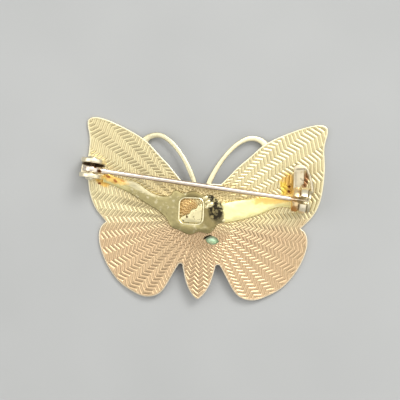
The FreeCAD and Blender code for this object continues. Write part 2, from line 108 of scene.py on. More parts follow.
ANTENNA_INSIDE = [
    (1.85, 6.75), (2.85, 9.02), (4.25, 11.45), (5.88, 13.40), (7.40, 14.60), (8.93, 15.10),
    (10.05, 14.85), (10.77, 14.18),
]
WING_TOP = [
    (10.77, 14.18), (9.60, 13.03), (8.05, 11.50), (6.45, 9.98), (5.10, 8.45), (4.00, 7.22), (3.55, 6.75),
]
FORK_BOTTOM_Y = 6.30

STRAP_MIDDLE_TOP = [
    (-5.90, 4.40), (-4.95, 5.30), (-3.75, 4.80), (-1.60, 5.30), (-0.10, 4.65), (1.60, 4.62),
    (2.70, 4.00), (3.70, 3.05),
]
STRAP_RIGHT_TOP = [(3.70, 3.05), (8.05, 4.05), (10.80, 4.50), (16.80, 5.40)]
STRAP_RIGHT_END = (20.30, 4.10)
STRAP_RIGHT_BOTTOM = [(16.60, 2.75), (14.20, 2.70), (11.20, 1.42), (8.25, 0.38), (3.50, -0.60)]
STRAP_MIDDLE_BOTTOM = [
    (3.50, -0.60), (2.85, -1.15), (2.30, -2.05), (1.00, -2.65), (-0.35, -2.35), (-1.80, -2.95),
    (-3.05, -2.75), (-4.25, -2.20), (-5.15, -1.95), (-6.15, -1.00),
]
STRAP_LEFT_BOTTOM = [(-6.15, -1.00), (-7.25, 0.48), (-10.10, 2.30), (-14.50, 4.75), (-18.90, 6.30)]
STRAP_LEFT_TOP = [
    (-18.90, 8.90), (-16.40, 7.30), (-12.10, 6.30), (-10.25, 5.00), (-8.25, 4.20), (-5.90, 4.40),
]

LEVER_BOWED_ARM = [(1.35, 0.00), (1.70, 1.60), (1.45, 3.10), (0.90, 4.60), (0.10, 6.00)]
LEVER_TIP = [(0.10, 6.00), (-0.45, 6.40), (-2.10, 6.50), (-2.62, 6.05)]
LEVER_STOUT_ARM = [(-2.62, 6.05), (-2.30, 3.20), (-1.95, 0.00)]
LEVER_WINDOW_BOWED = [(0.80, 0.00), (1.15, 1.60), (0.92, 3.00), (0.40, 4.40), (-0.30, 5.60)]
LEVER_WINDOW_STOUT = [
    (-0.30, 5.60), (-0.62, 5.45), (-0.40, 4.20), (-0.32, 3.05), (-0.78, 2.75), (-0.78, 0.00),
]


class Body(Enum):
    """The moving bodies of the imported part."""

    BROOCH = "brooch"
    PIN = "pin"
    LOCK = "lock"


class Metal(Enum):
    """The material slots of the record; each dress carries one."""

    GILT = "gilt_metal"
    PIN = "pin_metal"


def spline(table: Sequence[Pair], step: float) -> list[Pair]:
    """Run a smooth curve through points, as a cubic spline over the chords' lengths.

    Args:
        table: Points that the curve goes through.
        step: Largest distance between two samples.

    Returns:
        Samples of the curve from its first point to its last.
    """
    points = np.array(table, float)
    chords = np.linalg.norm(np.diff(points, axis=0), axis=1)
    knots = np.concatenate([[0.0], np.cumsum(chords)])
    count = len(points)
    near = min(count, 4)
    slopes = np.zeros_like(points)
    system = np.zeros((count, count))
    system[0, 0] = system[-1, -1] = 1.0
    for axis in range(2):
        first = np.polyfit(knots[:near], points[:near, axis], near - 1)
        last = np.polyfit(knots[-near:] - knots[-1], points[-near:, axis], near - 1)
        slopes[0, axis] = np.polyval(np.polyder(first), knots[0])
        slopes[-1, axis] = np.polyval(np.polyder(last), 0.0)
    secants = np.diff(points, axis=0) / chords[:, None]
    for row in range(1, count - 1):
        before, after = chords[row - 1], chords[row]
        system[row, row - 1:row + 2] = after, 2 * (before + after), before
        slopes[row] = 3 * (after * secants[row - 1] + before * secants[row])
    slopes = np.linalg.solve(system, slopes)
    samples = [tuple(points[0])]
    for row, chord in enumerate(chords):
        parts = max(1, math.ceil(chord / step))
        for part in range(1, parts + 1):
            t = part / parts
            place = (
                (2 * t**3 - 3 * t**2 + 1) * points[row] + (t**3 - 2 * t**2 + t) * chord * slopes[row]
                + (3 * t**2 - 2 * t**3) * points[row + 1] + (t**3 - t**2) * chord * slopes[row + 1]
            )
            samples.append((float(place[0]), float(place[1])))
    return samples


def arc(start: Pair, middle: Pair, end: Pair, step: float) -> list[Pair]:
    """Run an arc through three points.

    Args:
        start: First point.
        middle: A point on the way.
        end: Last point.
        step: Largest distance between two samples.

    Returns:
        Samples of the arc from its first point to its last.
    """
    (ax, ay), (bx, by), (cx, cy) = start, middle, end
    scale = 2 * (ax * (by - cy) + bx * (cy - ay) + cx * (ay - by))
    squares = ax * ax + ay * ay, bx * bx + by * by, cx * cx + cy * cy
    x = (squares[0] * (by - cy) + squares[1] * (cy - ay) + squares[2] * (ay - by)) / scale
    y = (squares[0] * (cx - bx) + squares[1] * (ax - cx) + squares[2] * (bx - ax)) / scale
    radius = math.hypot(ax - x, ay - y)
    first, through, last = (math.atan2(py - y, px - x) for px, py in (start, middle, end))
    turn = (last - first) % math.tau
    if (through - first) % math.tau > turn:
        turn -= math.tau
    parts = max(2, math.ceil(abs(turn) * radius / step))
    angles = [first + turn * part / parts for part in range(parts + 1)]
    return [(x + radius * math.cos(angle), y + radius * math.sin(angle)) for angle in angles]


def straight(start: Pair, end: Pair, step: float) -> list[Pair]:
    """Run a straight line between two points, sampled at about a step.

    Args:
        start: First point.
        end: Last point.
        step: Largest distance between two samples.

    Returns:
        Samples of the line.
    """
    parts = max(1, math.ceil(math.dist(start, end) / step))
    return [
        (start[0] + (end[0] - start[0]) * part / parts, start[1] + (end[1] - start[1]) * part / parts)
        for part in range(parts + 1)
    ]


def circle(radius: float, sides: int) -> list[Pair]:
    """Points round a circle, in order."""
    angles = [math.tau * side / sides for side in range(sides)]
    return [(radius * math.cos(a), radius * math.sin(a)) for a in angles]


def rectangle(low: Pair, high: Pair) -> list[Pair]:
    """Corners of a rectangle between its lowest and highest corner, running to the left."""
    return [low, (high[0], low[1]), high, (low[0], high[1])]


def closed(*runs: Sequence[Pair]) -> list[Pair]:
    """Join runs of points into one closed loop, with no point twice in a row.

    Args:
        runs: The runs in order round the loop.

    Returns:
        The loop's points, the first of them not repeated at the end.
    """
    loop: list[Pair] = []
    for run in runs:
        for point in run:
            if not loop or math.dist(loop[-1], point) > TOUCHING:
                loop.append((float(point[0]), float(point[1])))
    while len(loop) > 1 and math.dist(loop[0], loop[-1]) < TOUCHING:
        loop.pop()
    return loop


def signed_area(loop: Sequence[Pair]) -> float:
    """Area of a closed loop, above zero when it runs to the left."""
    return sum(a[0] * b[1] - b[0] * a[1] for a, b in zip(loop, [*loop[1:], loop[0]])) / 2


def inward(loop: Sequence[Pair], distance: float) -> list[Pair]:
    """Move a closed loop to its left, into the material.

    Args:
        loop: The loop's points.
        distance: How far each side moves.

    Returns:
        The moved points, one for each point of the loop.
    """
    points = np.array(loop, float)
    ahead = np.roll(points, -1, axis=0) - points
    ahead /= np.linalg.norm(ahead, axis=1)[:, None]
    normals = np.stack([-ahead[:, 1], ahead[:, 0]], axis=1)
    both = normals + np.roll(normals, 1, axis=0)
    length = np.maximum(np.linalg.norm(both, axis=1)[:, None], TINY)
    moved = points + both / length * np.minimum(2.0 / length, MITRE_LIMIT) * distance
    return [(float(x), float(y)) for x, y in moved]


def inside(points: np.ndarray, loops: Sequence[Sequence[Pair]]) -> np.ndarray:
    """Say which points lie in the material between an outer loop and its holes.

    Args:
        points: One row of x and y for each point.
        loops: The outer loop and the holes, in any order.

    Returns:
        A truth value for each point.
    """
    crossings = np.zeros(len(points), int)
    for loop in loops:
        start = np.array(loop, float)
        end = np.roll(start, -1, axis=0)
        for (ax, ay), (bx, by) in zip(start, end):
            if ay == by:
                continue
            spans = (points[:, 1] >= min(ay, by)) & (points[:, 1] < max(ay, by))
            reach = ax + (points[:, 1] - ay) * (bx - ax) / (by - ay)
            crossings += spans & (points[:, 0] < reach)
    return crossings % 2 == 1


def nearest(points: np.ndarray, others: np.ndarray) -> np.ndarray:
    """Distance from each point to the nearest of the others.

    Args:
        points: One row of x and y for each point.
        others: One row of x and y for each point measured to.

    Returns:
        One distance for each point.
    """
    found = np.empty(len(points))
    for start in range(0, len(points), BLOCK):
        block = points[start:start + BLOCK]
        squares = ((block[:, None, :] - others[None, :, :]) ** 2).sum(axis=2)
        found[start:start + BLOCK] = np.sqrt(squares.min(axis=1))
    return found


def fill(loops: Sequence[Sequence[Pair]], spacing: float) -> tuple[list[Pair], list[tuple[int, ...]]]:
    """Fill the material between loops with triangles.

    Args:
        loops: The outer loop first, then the holes.
        spacing: Distance between points added inside, or 0 for none.

    Returns:
        The points, those of the loops first and in their order, and the triangles.
    """
    border = [point for loop in loops for point in loop]
    edges: list[tuple[int, int]] = []
    for loop in loops:
        first = len(edges)
        edges += [(first + k, first + (k + 1) % len(loop)) for k in range(len(loop))]
    extra = np.empty((0, 2))
    if spacing:
        low, high = np.min(border, axis=0), np.max(border, axis=0)
        rows = np.arange(low[1] + spacing / 2, high[1], spacing)
        columns = np.arange(low[0] + spacing / 2, high[0], spacing)
        grid = np.array([(x, y) for y in rows for x in columns])
        if len(grid):
            clear = nearest(grid, np.array(border)) > spacing * 0.55
            extra = grid[clear & inside(grid, loops)]
    given = [Vector(point) for point in [*border, *extra.tolist()]]
    points, _, triangles, origins, _, _ = delaunay_2d_cdt(given, edges, [], 0, MERGE_DISTANCE)
    if len(points) != len(given):
        crossing = [tuple(round(c, 2) for c in p) for p, o in zip(points, origins) if len(o) != 1]
        raise ValueError(f"an outline crosses itself at {crossing}")
    order = [sources[0] for sources in origins]
    middles = np.array([[sum(points[k][axis] for k in face) / 3 for axis in range(2)] for face in triangles])
    keep = inside(middles, loops)
    faces = [tuple(order[k] for k in face) for face, kept in zip(triangles, keep) if kept]
    return [(point.x, point.y) for point in given], faces


@dataclass
class Shape:
    """A mesh in the making: points in millimetres, faces, and each point's place in the pattern."""

    points: list[Triple] = field(default_factory=list)
    faces: list[tuple[int, ...]] = field(default_factory=list)
    depths: list[float] = field(default_factory=list)
    phases: list[float] = field(default_factory=list)

    def row(self, points: Sequence[Triple], depth: float = 0.0) -> range:
        """Take in points that share a depth in the pattern, and give their numbers.

        Args:
            points: The points, in order.
            depth: Their depth in the pattern.

        Returns:
            Their numbers, in the same order.
        """
        first = len(self.points)
        self.points += points
        self.depths += [depth] * len(points)
        self.phases += [0.0] * len(points)
        return range(first, len(self.points))

    def wall(self, first: Sequence[int], second: Sequence[int]) -> None:
        """Join two closed rows with faces; a row is as long as the other or a single point.

        Args:
            first: Numbers of the points of one row.
            second: Numbers of the points of the other.
        """
        count = max(len(first), len(second))
        for k in range(count):
            after = (k + 1) % count
            corners = (
                first[k % len(first)], first[after % len(first)],
                second[after % len(second)], second[k % len(second)],
            )
            face = tuple(dict.fromkeys(corners))
            if len(face) > 2:
                self.faces.append(face)

    def walls(self, rows: Sequence[Sequence[int]]) -> None:
        """Join each closed row with the next."""
        for first, second in zip(rows, rows[1:]):
            self.wall(first, second)

    def add(self, other: Shape) -> Shape:
        """Take in another shape's points and faces, and return this one.

        Args:
            other: The shape that is taken in.

        Returns:
            This shape.
        """
        first = len(self.points)
        self.points += other.points
        self.depths += other.depths
        self.phases += other.phases
        self.faces += [tuple(first + k for k in face) for face in other.faces]
        return self


def dome(height: float, radius: float, parts: int) -> list[Pair]:
    """Profile of a dome without its top.

    Args:
        height: Its height.
        radius: Radius of its foot.
        parts: Number of steps up to the top.

    Returns:
        Points of height and radius, from the foot.
    """
    angles = [math.radians(90 * part / parts) for part in range(parts)]
    return [(height * math.sin(a), radius * math.cos(a)) for a in angles]


def slab(
    loops: Sequence[Sequence[Pair]], low: float, high: float, bevel: float, place: Placer,
    spacing: float = 0.0,
) -> Shape:
    """Make a flat piece with rounded edges from its outline.

    Args:
        loops: The outer loop first, then the holes.
        low: Height of the lower face.
        high: Height of the upper face.
        bevel: Radius of the rounded edges.
        place: Takes a point of the plane and a height to its place on the part.
        spacing: Distance between points inside the two faces, or 0 for none.

    Returns:
        The closed shape.
    """
    turned = []
    for number, loop in enumerate(loops):
        left = signed_area(loop) > 0
        turned.append(list(loop) if left == (number == 0) else list(reversed(loop)))
    angles = [math.radians(angle) for angle in EDGE_ANGLES]
    drops = [(bevel * (1 - math.cos(a)), bevel * (1 - math.sin(a))) for a in angles]
    levels = [(distance, low + drop) for distance, drop in drops]
    levels += [(distance, high - drop) for distance, drop in reversed(drops)]
    shape = Shape()
    floor: list[int] = []
    roof: list[int] = []
    for loop in turned:
        rows = [
            shape.row([place(u, v, height) for u, v in inward(loop, distance)])
            for distance, height in levels
        ]
        shape.walls(rows)
        floor += rows[0]
        roof += rows[-1]
    flat, faces = fill([inward(loop, bevel) for loop in turned], spacing)
    for names, height in ((floor, low), (roof, high)):
        names += shape.row([place(u, v, height) for u, v in flat[len(names):]])
        shape.faces += [tuple(names[k] for k in face) for face in faces]
    return shape


def lathe(profile: Sequence[Pair], place: Placer, sides: int = 32) -> Shape:
    """Turn a profile about an axis.

    Args:
        profile: Points of distance along the axis and radius; radius 0 closes an end.
        place: Takes distance along the axis and two offsets across it to the part.
        sides: Number of sides round the axis.

    Returns:
        The turned shape.
    """
    shape = Shape()
    rows = []
    for along, radius in profile:
        ring = circle(radius, sides) if radius else [(0.0, 0.0)]
        rows.append(shape.row([place(along, u, v) for u, v in ring]))
    shape.walls(rows)
    return shape


def bead(path: Sequence[Triple], radius: float, sides: int = 8) -> Shape:
    """Lay a round bead along a closed path.

    Args:
        path: Points of the bead's middle, in order round the loop.
        radius: Radius of the bead.
        sides: Number of sides round the bead.

    Returns:
        The closed ring.
    """
    shape = Shape()
    rows = []
    for k, here in enumerate(path):
        ahead = (Vector(path[(k + 1) % len(path)]) - Vector(path[k - 1])).normalized()
        aside = ahead.cross(Vector((0, 0, 1))).normalized()
        up = aside.cross(ahead)
        ring = [Vector(here) + radius * (u * aside + v * up) for u, v in circle(1.0, sides)]
        rows.append(shape.row([tuple(point) for point in ring]))
    shape.walls([*rows, rows[0]])
    return shape


@dataclass(frozen=True)
class PlateBend:
    """The plate's gentle bend: a crowned middle, straight slopes and flat tips."""

    rise: float = 1.8
    slope: float = 8.0
    reach: float = 17.0
    thickness: float = 0.6

    def front(self, x: float | np.ndarray) -> float | np.ndarray:
        """Height of the plate's front face.

        Args:
            x: Distance to the right of the middle, one or many.

        Returns:
            The height above the resting plane.
        """
        sine, cosine = math.sin(math.radians(self.slope)), math.cos(math.radians(self.slope))
        radius = (self.reach * sine - self.rise * cosine) / (2 * (1 - cosine))
        out = np.abs(x)
        crown_end = radius * sine
        foot_start = self.reach - radius * sine
        crown = self.rise - radius + np.sqrt(np.maximum(radius**2 - np.minimum(out, crown_end) ** 2, 0))
        foot = radius - np.sqrt(np.maximum(radius**2 - np.clip(self.reach - out, 0, crown_end) ** 2, 0))
        incline = self.rise - radius * (1 - cosine) - (out - crown_end) * sine / cosine
        height = np.where(out < crown_end, crown, np.where(out < foot_start, incline, foot))
        return height if isinstance(x, np.ndarray) else float(height)

    def place(self, x: float, y: float, offset: float) -> Triple:
        """Put a point of a pattern-centred outline at an offset from the plate's front."""
        return (x, y + CENTRE_Y, self.front(x) + offset)

    def place_all(self, plan: np.ndarray, offset: float | np.ndarray) -> list[Triple]:
        """Put many points of the pattern at an offset from the plate's front."""
        heights = self.front(plan[:, 0]) + offset
        return [(float(x), float(y) + CENTRE_Y, float(z)) for (x, y), z in zip(plan, heights)]


@dataclass(frozen=True)
class PinFrame:
    """Where the pin lies: its hinge, its direction, the bracket's shift and the catch's place."""

    x: float = -20.9
    y: float = 6.84
    height: float = 3.72
    turn: float = -6.3
    shift: float = 0.22
    catch: float = 40.0

    def point(self, along: float, across: float, up: float) -> Triple:
        """Take distances along, across and above the pin to a place on the part.

        Args:
            along: Distance from the hinge towards the pin's point.
            across: Distance to the left of the pin.
            up: Height above the pin's middle.

        Returns:
            The place.
        """
        cosine, sine = math.cos(math.radians(self.turn)), math.sin(math.radians(self.turn))
        return (
            self.x + along * cosine - across * sine, self.y + along * sine + across * cosine,
            self.height + up,
        )

    def side_on(self, along: float, up: float, across: float) -> Triple:
        """Place an outline seen from the pin's side, with its thickness across the pin."""
        return self.point(along, across, up)

    def end_on(self, across: float, up: float, along: float) -> Triple:
        """Place an outline seen from the pin's end, with its thickness along the pin."""
        return self.point(along, across, up)


@dataclass(frozen=True)
class StoneSeat:
    """Where the stone lies in the plate: its middle in the pattern's frame, and its turn."""

    x: float = 2.14
    y: float = -3.92
    turn: float = -8.0

    def point(self, u: float, v: float) -> Pair:
        """Take distances along and across the stone to a place on the part, in plan."""
        cosine, sine = math.cos(math.radians(self.turn)), math.sin(math.radians(self.turn))
        return (self.x + u * cosine - v * sine, self.y + u * sine + v * cosine + CENTRE_Y)


PLATE = PlateBend()
PIN = PinFrame()
STONE = StoneSeat()


@dataclass(frozen=True)
class StainAndLight:
    """An oval mark in plan, in the part's frame, with ragged edges made of spots of one size; it serves both
    for real stains and for painted shade, highlights and reflections.
    """

    centre: Pair
    radii: Pair
    tone: Triple
    strength: float = 1.0
    turn: float = 0.0
    ragged: float = 0.35
    spots: float = 0.9


def speck(centre: Pair, radii: Pair, tone: Triple, turn: float = 0.0, ragged: float = 0.3) -> StainAndLight:
    """Describe a small strong stain with finely ragged edges.

    Args:
        centre: Its middle.
        radii: Its half length and half width.
        tone: Its colour.
        turn: Degrees that it is turned to the left.
        ragged: How far its edge moves, as a share of its size.

    Returns:
        The stain.
    """
    return StainAndLight(centre, radii, tone, 1.0, turn, ragged, 0.4)


@dataclass(frozen=True)
class Grain:
    """A soft noise: the rough size of its spots, its finer layers and a factor along each axis."""

    size: float
    detail: float = 3.0
    stretch: Triple = (1.0, 1.0, 1.0)


@dataclass(frozen=True)
class Cloud:
    """Spots of another tone, which come in as a noise runs through a span of values."""

    tone: Triple
    grain: Grain
    span: Pair
    strength: float = 1.0


@dataclass(frozen=True)
class Sheen:
    """How a metal shines: its roughness between two values in soft spots, and its fine bumps."""

    rough: Pair
    spots: Grain
    bumps: Grain
    height: float
    bump: float = 0.5
    metallic: float = 0.95


class Paint:
    """Adds and links the nodes of one material, with its coordinates in millimetres."""

    def __init__(self, name: str) -> None:
        """Start an empty material with a surface shader.

        Args:
            name: The material's name.
        """
        self.material = bpy.data.materials.new(name)
        self.material.use_nodes = True
        self.tree = self.material.node_tree
        self.tree.nodes.clear()
        self.shader = self.node("BsdfPrincipled", {})
        self.node("OutputMaterial", {"Surface": self.shader.outputs["BSDF"]})
        metres = self.node("TexCoord", {}).outputs["Object"]
        scale = self.node("VectorMath", {"Vector": metres, "Scale": 1 / MM}, operation="SCALE")
        self.place = scale.outputs["Vector"]

    def node(self, kind: str, inputs: dict[str, Input], **settings: str) -> bpy.types.Node:
        """Add a node.

        Args:
            kind: Its type, without the prefix that all shader nodes share.
            inputs: What feeds its sockets, by the sockets' identifiers.
            settings: The node's own settings.

        Returns:
            The node.
        """
        node = self.tree.nodes.new(f"ShaderNode{kind}")
        for name, value in settings.items():
            setattr(node, name, value)
        sockets = {socket.identifier: socket for socket in node.inputs}
        for name, source in inputs.items():
            self.feed(source, sockets[name])
        return node

    def feed(self, source: Input, target: Socket) -> None:
        """Feed an input from a socket, or set it to a number, vector or colour.

        Args:
            source: The socket or the value.
            target: The input.
        """
        if isinstance(source, Socket):
            self.tree.links.new(source, target)
        else:
            target.default_value = (*source, 1.0) if target.type == "RGBA" else source

    def stretched(self, factors: Triple) -> Socket:
        """Give the coordinates multiplied by a factor along each axis."""
        node = self.node("VectorMath", {"Vector": self.place, "Vector_001": factors}, operation="MULTIPLY")
        return node.outputs["Vector"]

    def noise(self, grain: Grain) -> Socket:
        """Make a soft noise with values of about 0 to 1.

        Args:
            grain: Its spots' size, its layers and its stretch.

        Returns:
            The noise's value.
        """
        place = self.stretched(grain.stretch)
        node = self.node("TexNoise", {"Vector": place, "Scale": 1 / grain.size, "Detail": grain.detail})
        return node.outputs["Fac"]

    def axis(self, name: str) -> Socket:
        """Give one coordinate, X, Y or Z, in millimetres."""
        return self.node("SeparateXYZ", {"Vector": self.place}).outputs[name]

    def mark(self, name: str) -> Socket:
        """Give a value that the mesh's points carry, such as their depth in the stamped pattern."""
        return self.node("Attribute", {}, attribute_name=name).outputs["Fac"]

    def math(self, operation: str, first: Input, second: Input = 0.0) -> Socket:
        """Combine two values.

        Args:
            operation: Name of the operation, such as MULTIPLY.
            first: First value.
            second: Second value, left out where the operation takes one.

        Returns:
            The result.
        """
        return self.node("Math", {"Value": first, "Value_001": second}, operation=operation).outputs[0]

    def band(self, value: Input, span: Pair, strength: float = 1.0) -> Socket:
        """Turn a value into a soft step.

        Args:
            value: The value.
            span: Where the step is still 0 and where it has reached its strength.
            strength: Height of the step.

        Returns:
            The step.
        """
        inputs = {"Value": value, "From Min": span[0], "From Max": span[1], "To Max": strength}
        return self.node("MapRange", inputs, interpolation_type="SMOOTHSTEP").outputs["Result"]

    def mix(self, factor: Input, first: Input, second: Input) -> Socket:
        """Mix two colours.

        Args:
            factor: Share of the second colour.
            first: First colour.
            second: Second colour.

        Returns:
            The mixed colour.
        """
        inputs = {"Factor_Float": factor, "A_Color": first, "B_Color": second}
        outputs = self.node("Mix", inputs, data_type="RGBA").outputs
        return next(socket for socket in outputs if socket.identifier == "Result_Color")

    def patch(self, oval_mark: StainAndLight) -> Socket:
        """Give a mark's share at each place: its strength inside, and 0 well outside.

        Args:
            oval_mark: The mark, a real stain and painted light alike.

        Returns:
            Its share.
        """
        inputs = {
            "Vector": self.stretched((1.0, 1.0, 0.0)), "Location": (*oval_mark.centre, 0.0),
            "Rotation": (0.0, 0.0, math.radians(oval_mark.turn)), "Scale": (*oval_mark.radii, 1.0),
        }
        oval = self.node("Mapping", inputs, vector_type="TEXTURE").outputs["Vector"]
        distance = self.node("VectorMath", {"Vector": oval}, operation="LENGTH").outputs["Value"]
        noise = self.math("SUBTRACT", self.noise(Grain(oval_mark.spots)), 0.5)
        wobble = self.math("MULTIPLY", noise, PATCH_WOBBLE * oval_mark.ragged)
        return self.band(self.math("ADD", distance, wobble), PATCH_EDGE, oval_mark.strength)

    def clouded(self, colour: Input, *clouds: Cloud) -> Input:
        """Lay spots of other tones over a colour, the lowest first.

        Args:
            colour: The colour.
            clouds: The spots, the lowest first.

        Returns:
            The clouded colour.
        """
        for cloud in clouds:
            share = self.band(self.noise(cloud.grain), cloud.span, cloud.strength)
            colour = self.mix(share, colour, cloud.tone)
        return colour

    def stained_and_lit(self, colour: Input, stains_and_light: Sequence[StainAndLight], where: Input = 1.0) -> Input:
        """Lay stains and painted light over a colour.

        Args:
            colour: The colour.
            stains_and_light: The stains and patches of painted light, the lowest first.
            where: Share of their strength that shows.

        Returns:
            The colour with its stains and painted light.
        """
        for oval_mark in stains_and_light:
            colour = self.mix(self.math("MULTIPLY", self.patch(oval_mark), where), colour, oval_mark.tone)
        return colour

    def finish(self, **inputs: Input) -> bpy.types.Material:
        """Feed the shader, with an underscore for each space in a name, and give the material.

        Args:
            inputs: What feeds each of the shader's sockets.

        Returns:
            The material.
        """
        for name, source in inputs.items():
            self.feed(source, self.shader.inputs[name.replace("_", " ")])
        return self.material

    def metal(self, colour: Input, sheen: Sheen) -> bpy.types.Material:
        """Feed the shader as a metal.

        Args:
            colour: Its colour.
            sheen: How it shines.

        Returns:
            The material.
        """
        low, high = sheen.rough
        rough = self.node("MapRange", {"Value": self.noise(sheen.spots), "To Min": low, "To Max": high})
        relief = {"Height": self.noise(sheen.bumps), "Strength": sheen.bump, "Distance": sheen.height * MM}
        return self.finish(
            Base_Color=colour, Metallic=sheen.metallic, Roughness=rough.outputs["Result"],
            Normal=self.node("Bump", relief).outputs["Normal"],
        )


@dataclass(frozen=True)
class StampedGold:
    """The wings' thin gilding: a painted reflection, creamy above and rosy below, darker in the pattern's
    valleys, with a painted highlight along the rim.
    """

    # painted reflection: creamy on the upper wings and rosy on the lower, and where the rosy one takes over
    upper: Triple = (0.73, 0.65, 0.38)
    lower: Triple = (0.66, 0.48, 0.29)
    valley: Triple = (0.27, 0.18, 0.09)
    # painted highlight along the plate's smooth rim; rim_depths and rim_share below set where and how
    # strongly
    rim: Triple = (0.95, 0.88, 0.68)
    rosy_from: Pair = (2.2, -3.0)
    rosy_sway: float = 4.0
    cloud: Cloud = Cloud((0.55, 0.44, 0.26), Grain(2.2, 4.0), (0.35, 0.7), 0.22)
    back_phases: Pair = (-0.9, -0.1)
    valley_depths: Pair = (0.2, 1.0)
    valley_share: float = 0.85
    rim_depths: Pair = (-0.35, -0.9)
    rim_share: float = 0.7
    fine_line: Pair = (0.15, 0.04)
    fine_share: float = 0.35
    tail: StainAndLight = StainAndLight((0.0, -11.0), (4.0, 5.0), SHADE, 0.3, 0.0, 0.1, 3.0)
    sheen: Sheen = Sheen((0.30, 0.46), Grain(1.2), Grain(0.2), 0.016, 0.7)
    # Under the valleys: a warm band round the strap, painted shadows below the strap's left arm, under the
    # catch's lever, beside its bowed arm and in the gap between its arms, and painted shade in the window's
    # upper left
    under: tuple[StainAndLight, ...] = (
        StainAndLight((0.5, 1.6), (13.0, 4.2), (0.72, 0.56, 0.26), 0.55, -6.0, 0.15, 3.0),
        StainAndLight((-10.0, -0.3), (6.5, 1.5), SHADE, 0.45, -24.0, 0.2),
        StainAndLight((19.3, 6.6), (0.8, 2.0), SHADE, 0.75, -8.0, 0.2),
        StainAndLight((20.9, 4.2), (0.6, 2.2), SHADE, 0.5, -8.0, 0.2),
        StainAndLight((19.35, 6.2), (0.55, 1.7), SCORCH_AND_SHADOW, 0.85, -8.0, 0.05),
        StainAndLight((-2.8, 0.5), (1.9, 1.9), (0.66, 0.42, 0.16), 0.8, 0.0, 0.15),
    )
    over: tuple[StainAndLight, ...] = (
        StainAndLight((-18.9, 4.6), (1.9, 0.8), HEAT, 0.8, -20.0),
        StainAndLight((16.4, 5.2), (1.5, 2.5), HEAT, 0.8, 12.0),
        StainAndLight((15.4, 4.6), (0.7, 1.5), (0.88, 0.64, 0.10), 0.8, 10.0, 0.5, 0.6),
        speck((16.4, 5.0), (0.26, 0.26), SCORCH_AND_SHADOW),
        speck((16.35, 4.05), (0.30, 0.32), SCORCH_AND_SHADOW),
        speck((-19.6, 4.3), (0.3, 0.2), SCORCH_AND_SHADOW),
        # painted shadow at the upper left edge of the stone's hole
        StainAndLight((1.25, -5.12), (0.85, 0.32), SHADOW_AND_DARK_REFLECTION, 1.0, 24.0, 0.1),
    )

    def make(self) -> bpy.types.Material:
        """Make the material, with a fine line between the rings, and stains and painted light on the back
        alone.

        Returns:
            The material.
        """
        paint = Paint("stamped_gold")
        # painted reflection: creamy above, rosy below, with a wavering edge
        sway = paint.math("MULTIPLY", paint.noise(Grain(4.0)), self.rosy_sway)
        rosy = paint.band(paint.math("ADD", paint.axis("Y"), sway), self.rosy_from)
        colour = paint.clouded(paint.mix(rosy, self.upper, self.lower), self.cloud)
        back = paint.band(paint.mark("phase"), self.back_phases)
        colour = paint.stained_and_lit(colour, self.under, back)
        groove = paint.mark("groove")
        colour = paint.mix(paint.band(groove, self.valley_depths, self.valley_share), colour, self.valley)
        off_middle = paint.math("ABSOLUTE", paint.math("SUBTRACT", paint.mark("phase"), 0.5))
        share = paint.math("ADD", paint.patch(self.tail), self.fine_share)
        fine = paint.math("MULTIPLY", paint.band(off_middle, self.fine_line), share)
        colour = paint.mix(fine, colour, self.valley)
        # painted highlight on the smooth rim
        colour = paint.mix(paint.band(groove, self.rim_depths, self.rim_share), colour, self.rim)
        return paint.metal(paint.stained_and_lit(colour, self.over, back), self.sheen)


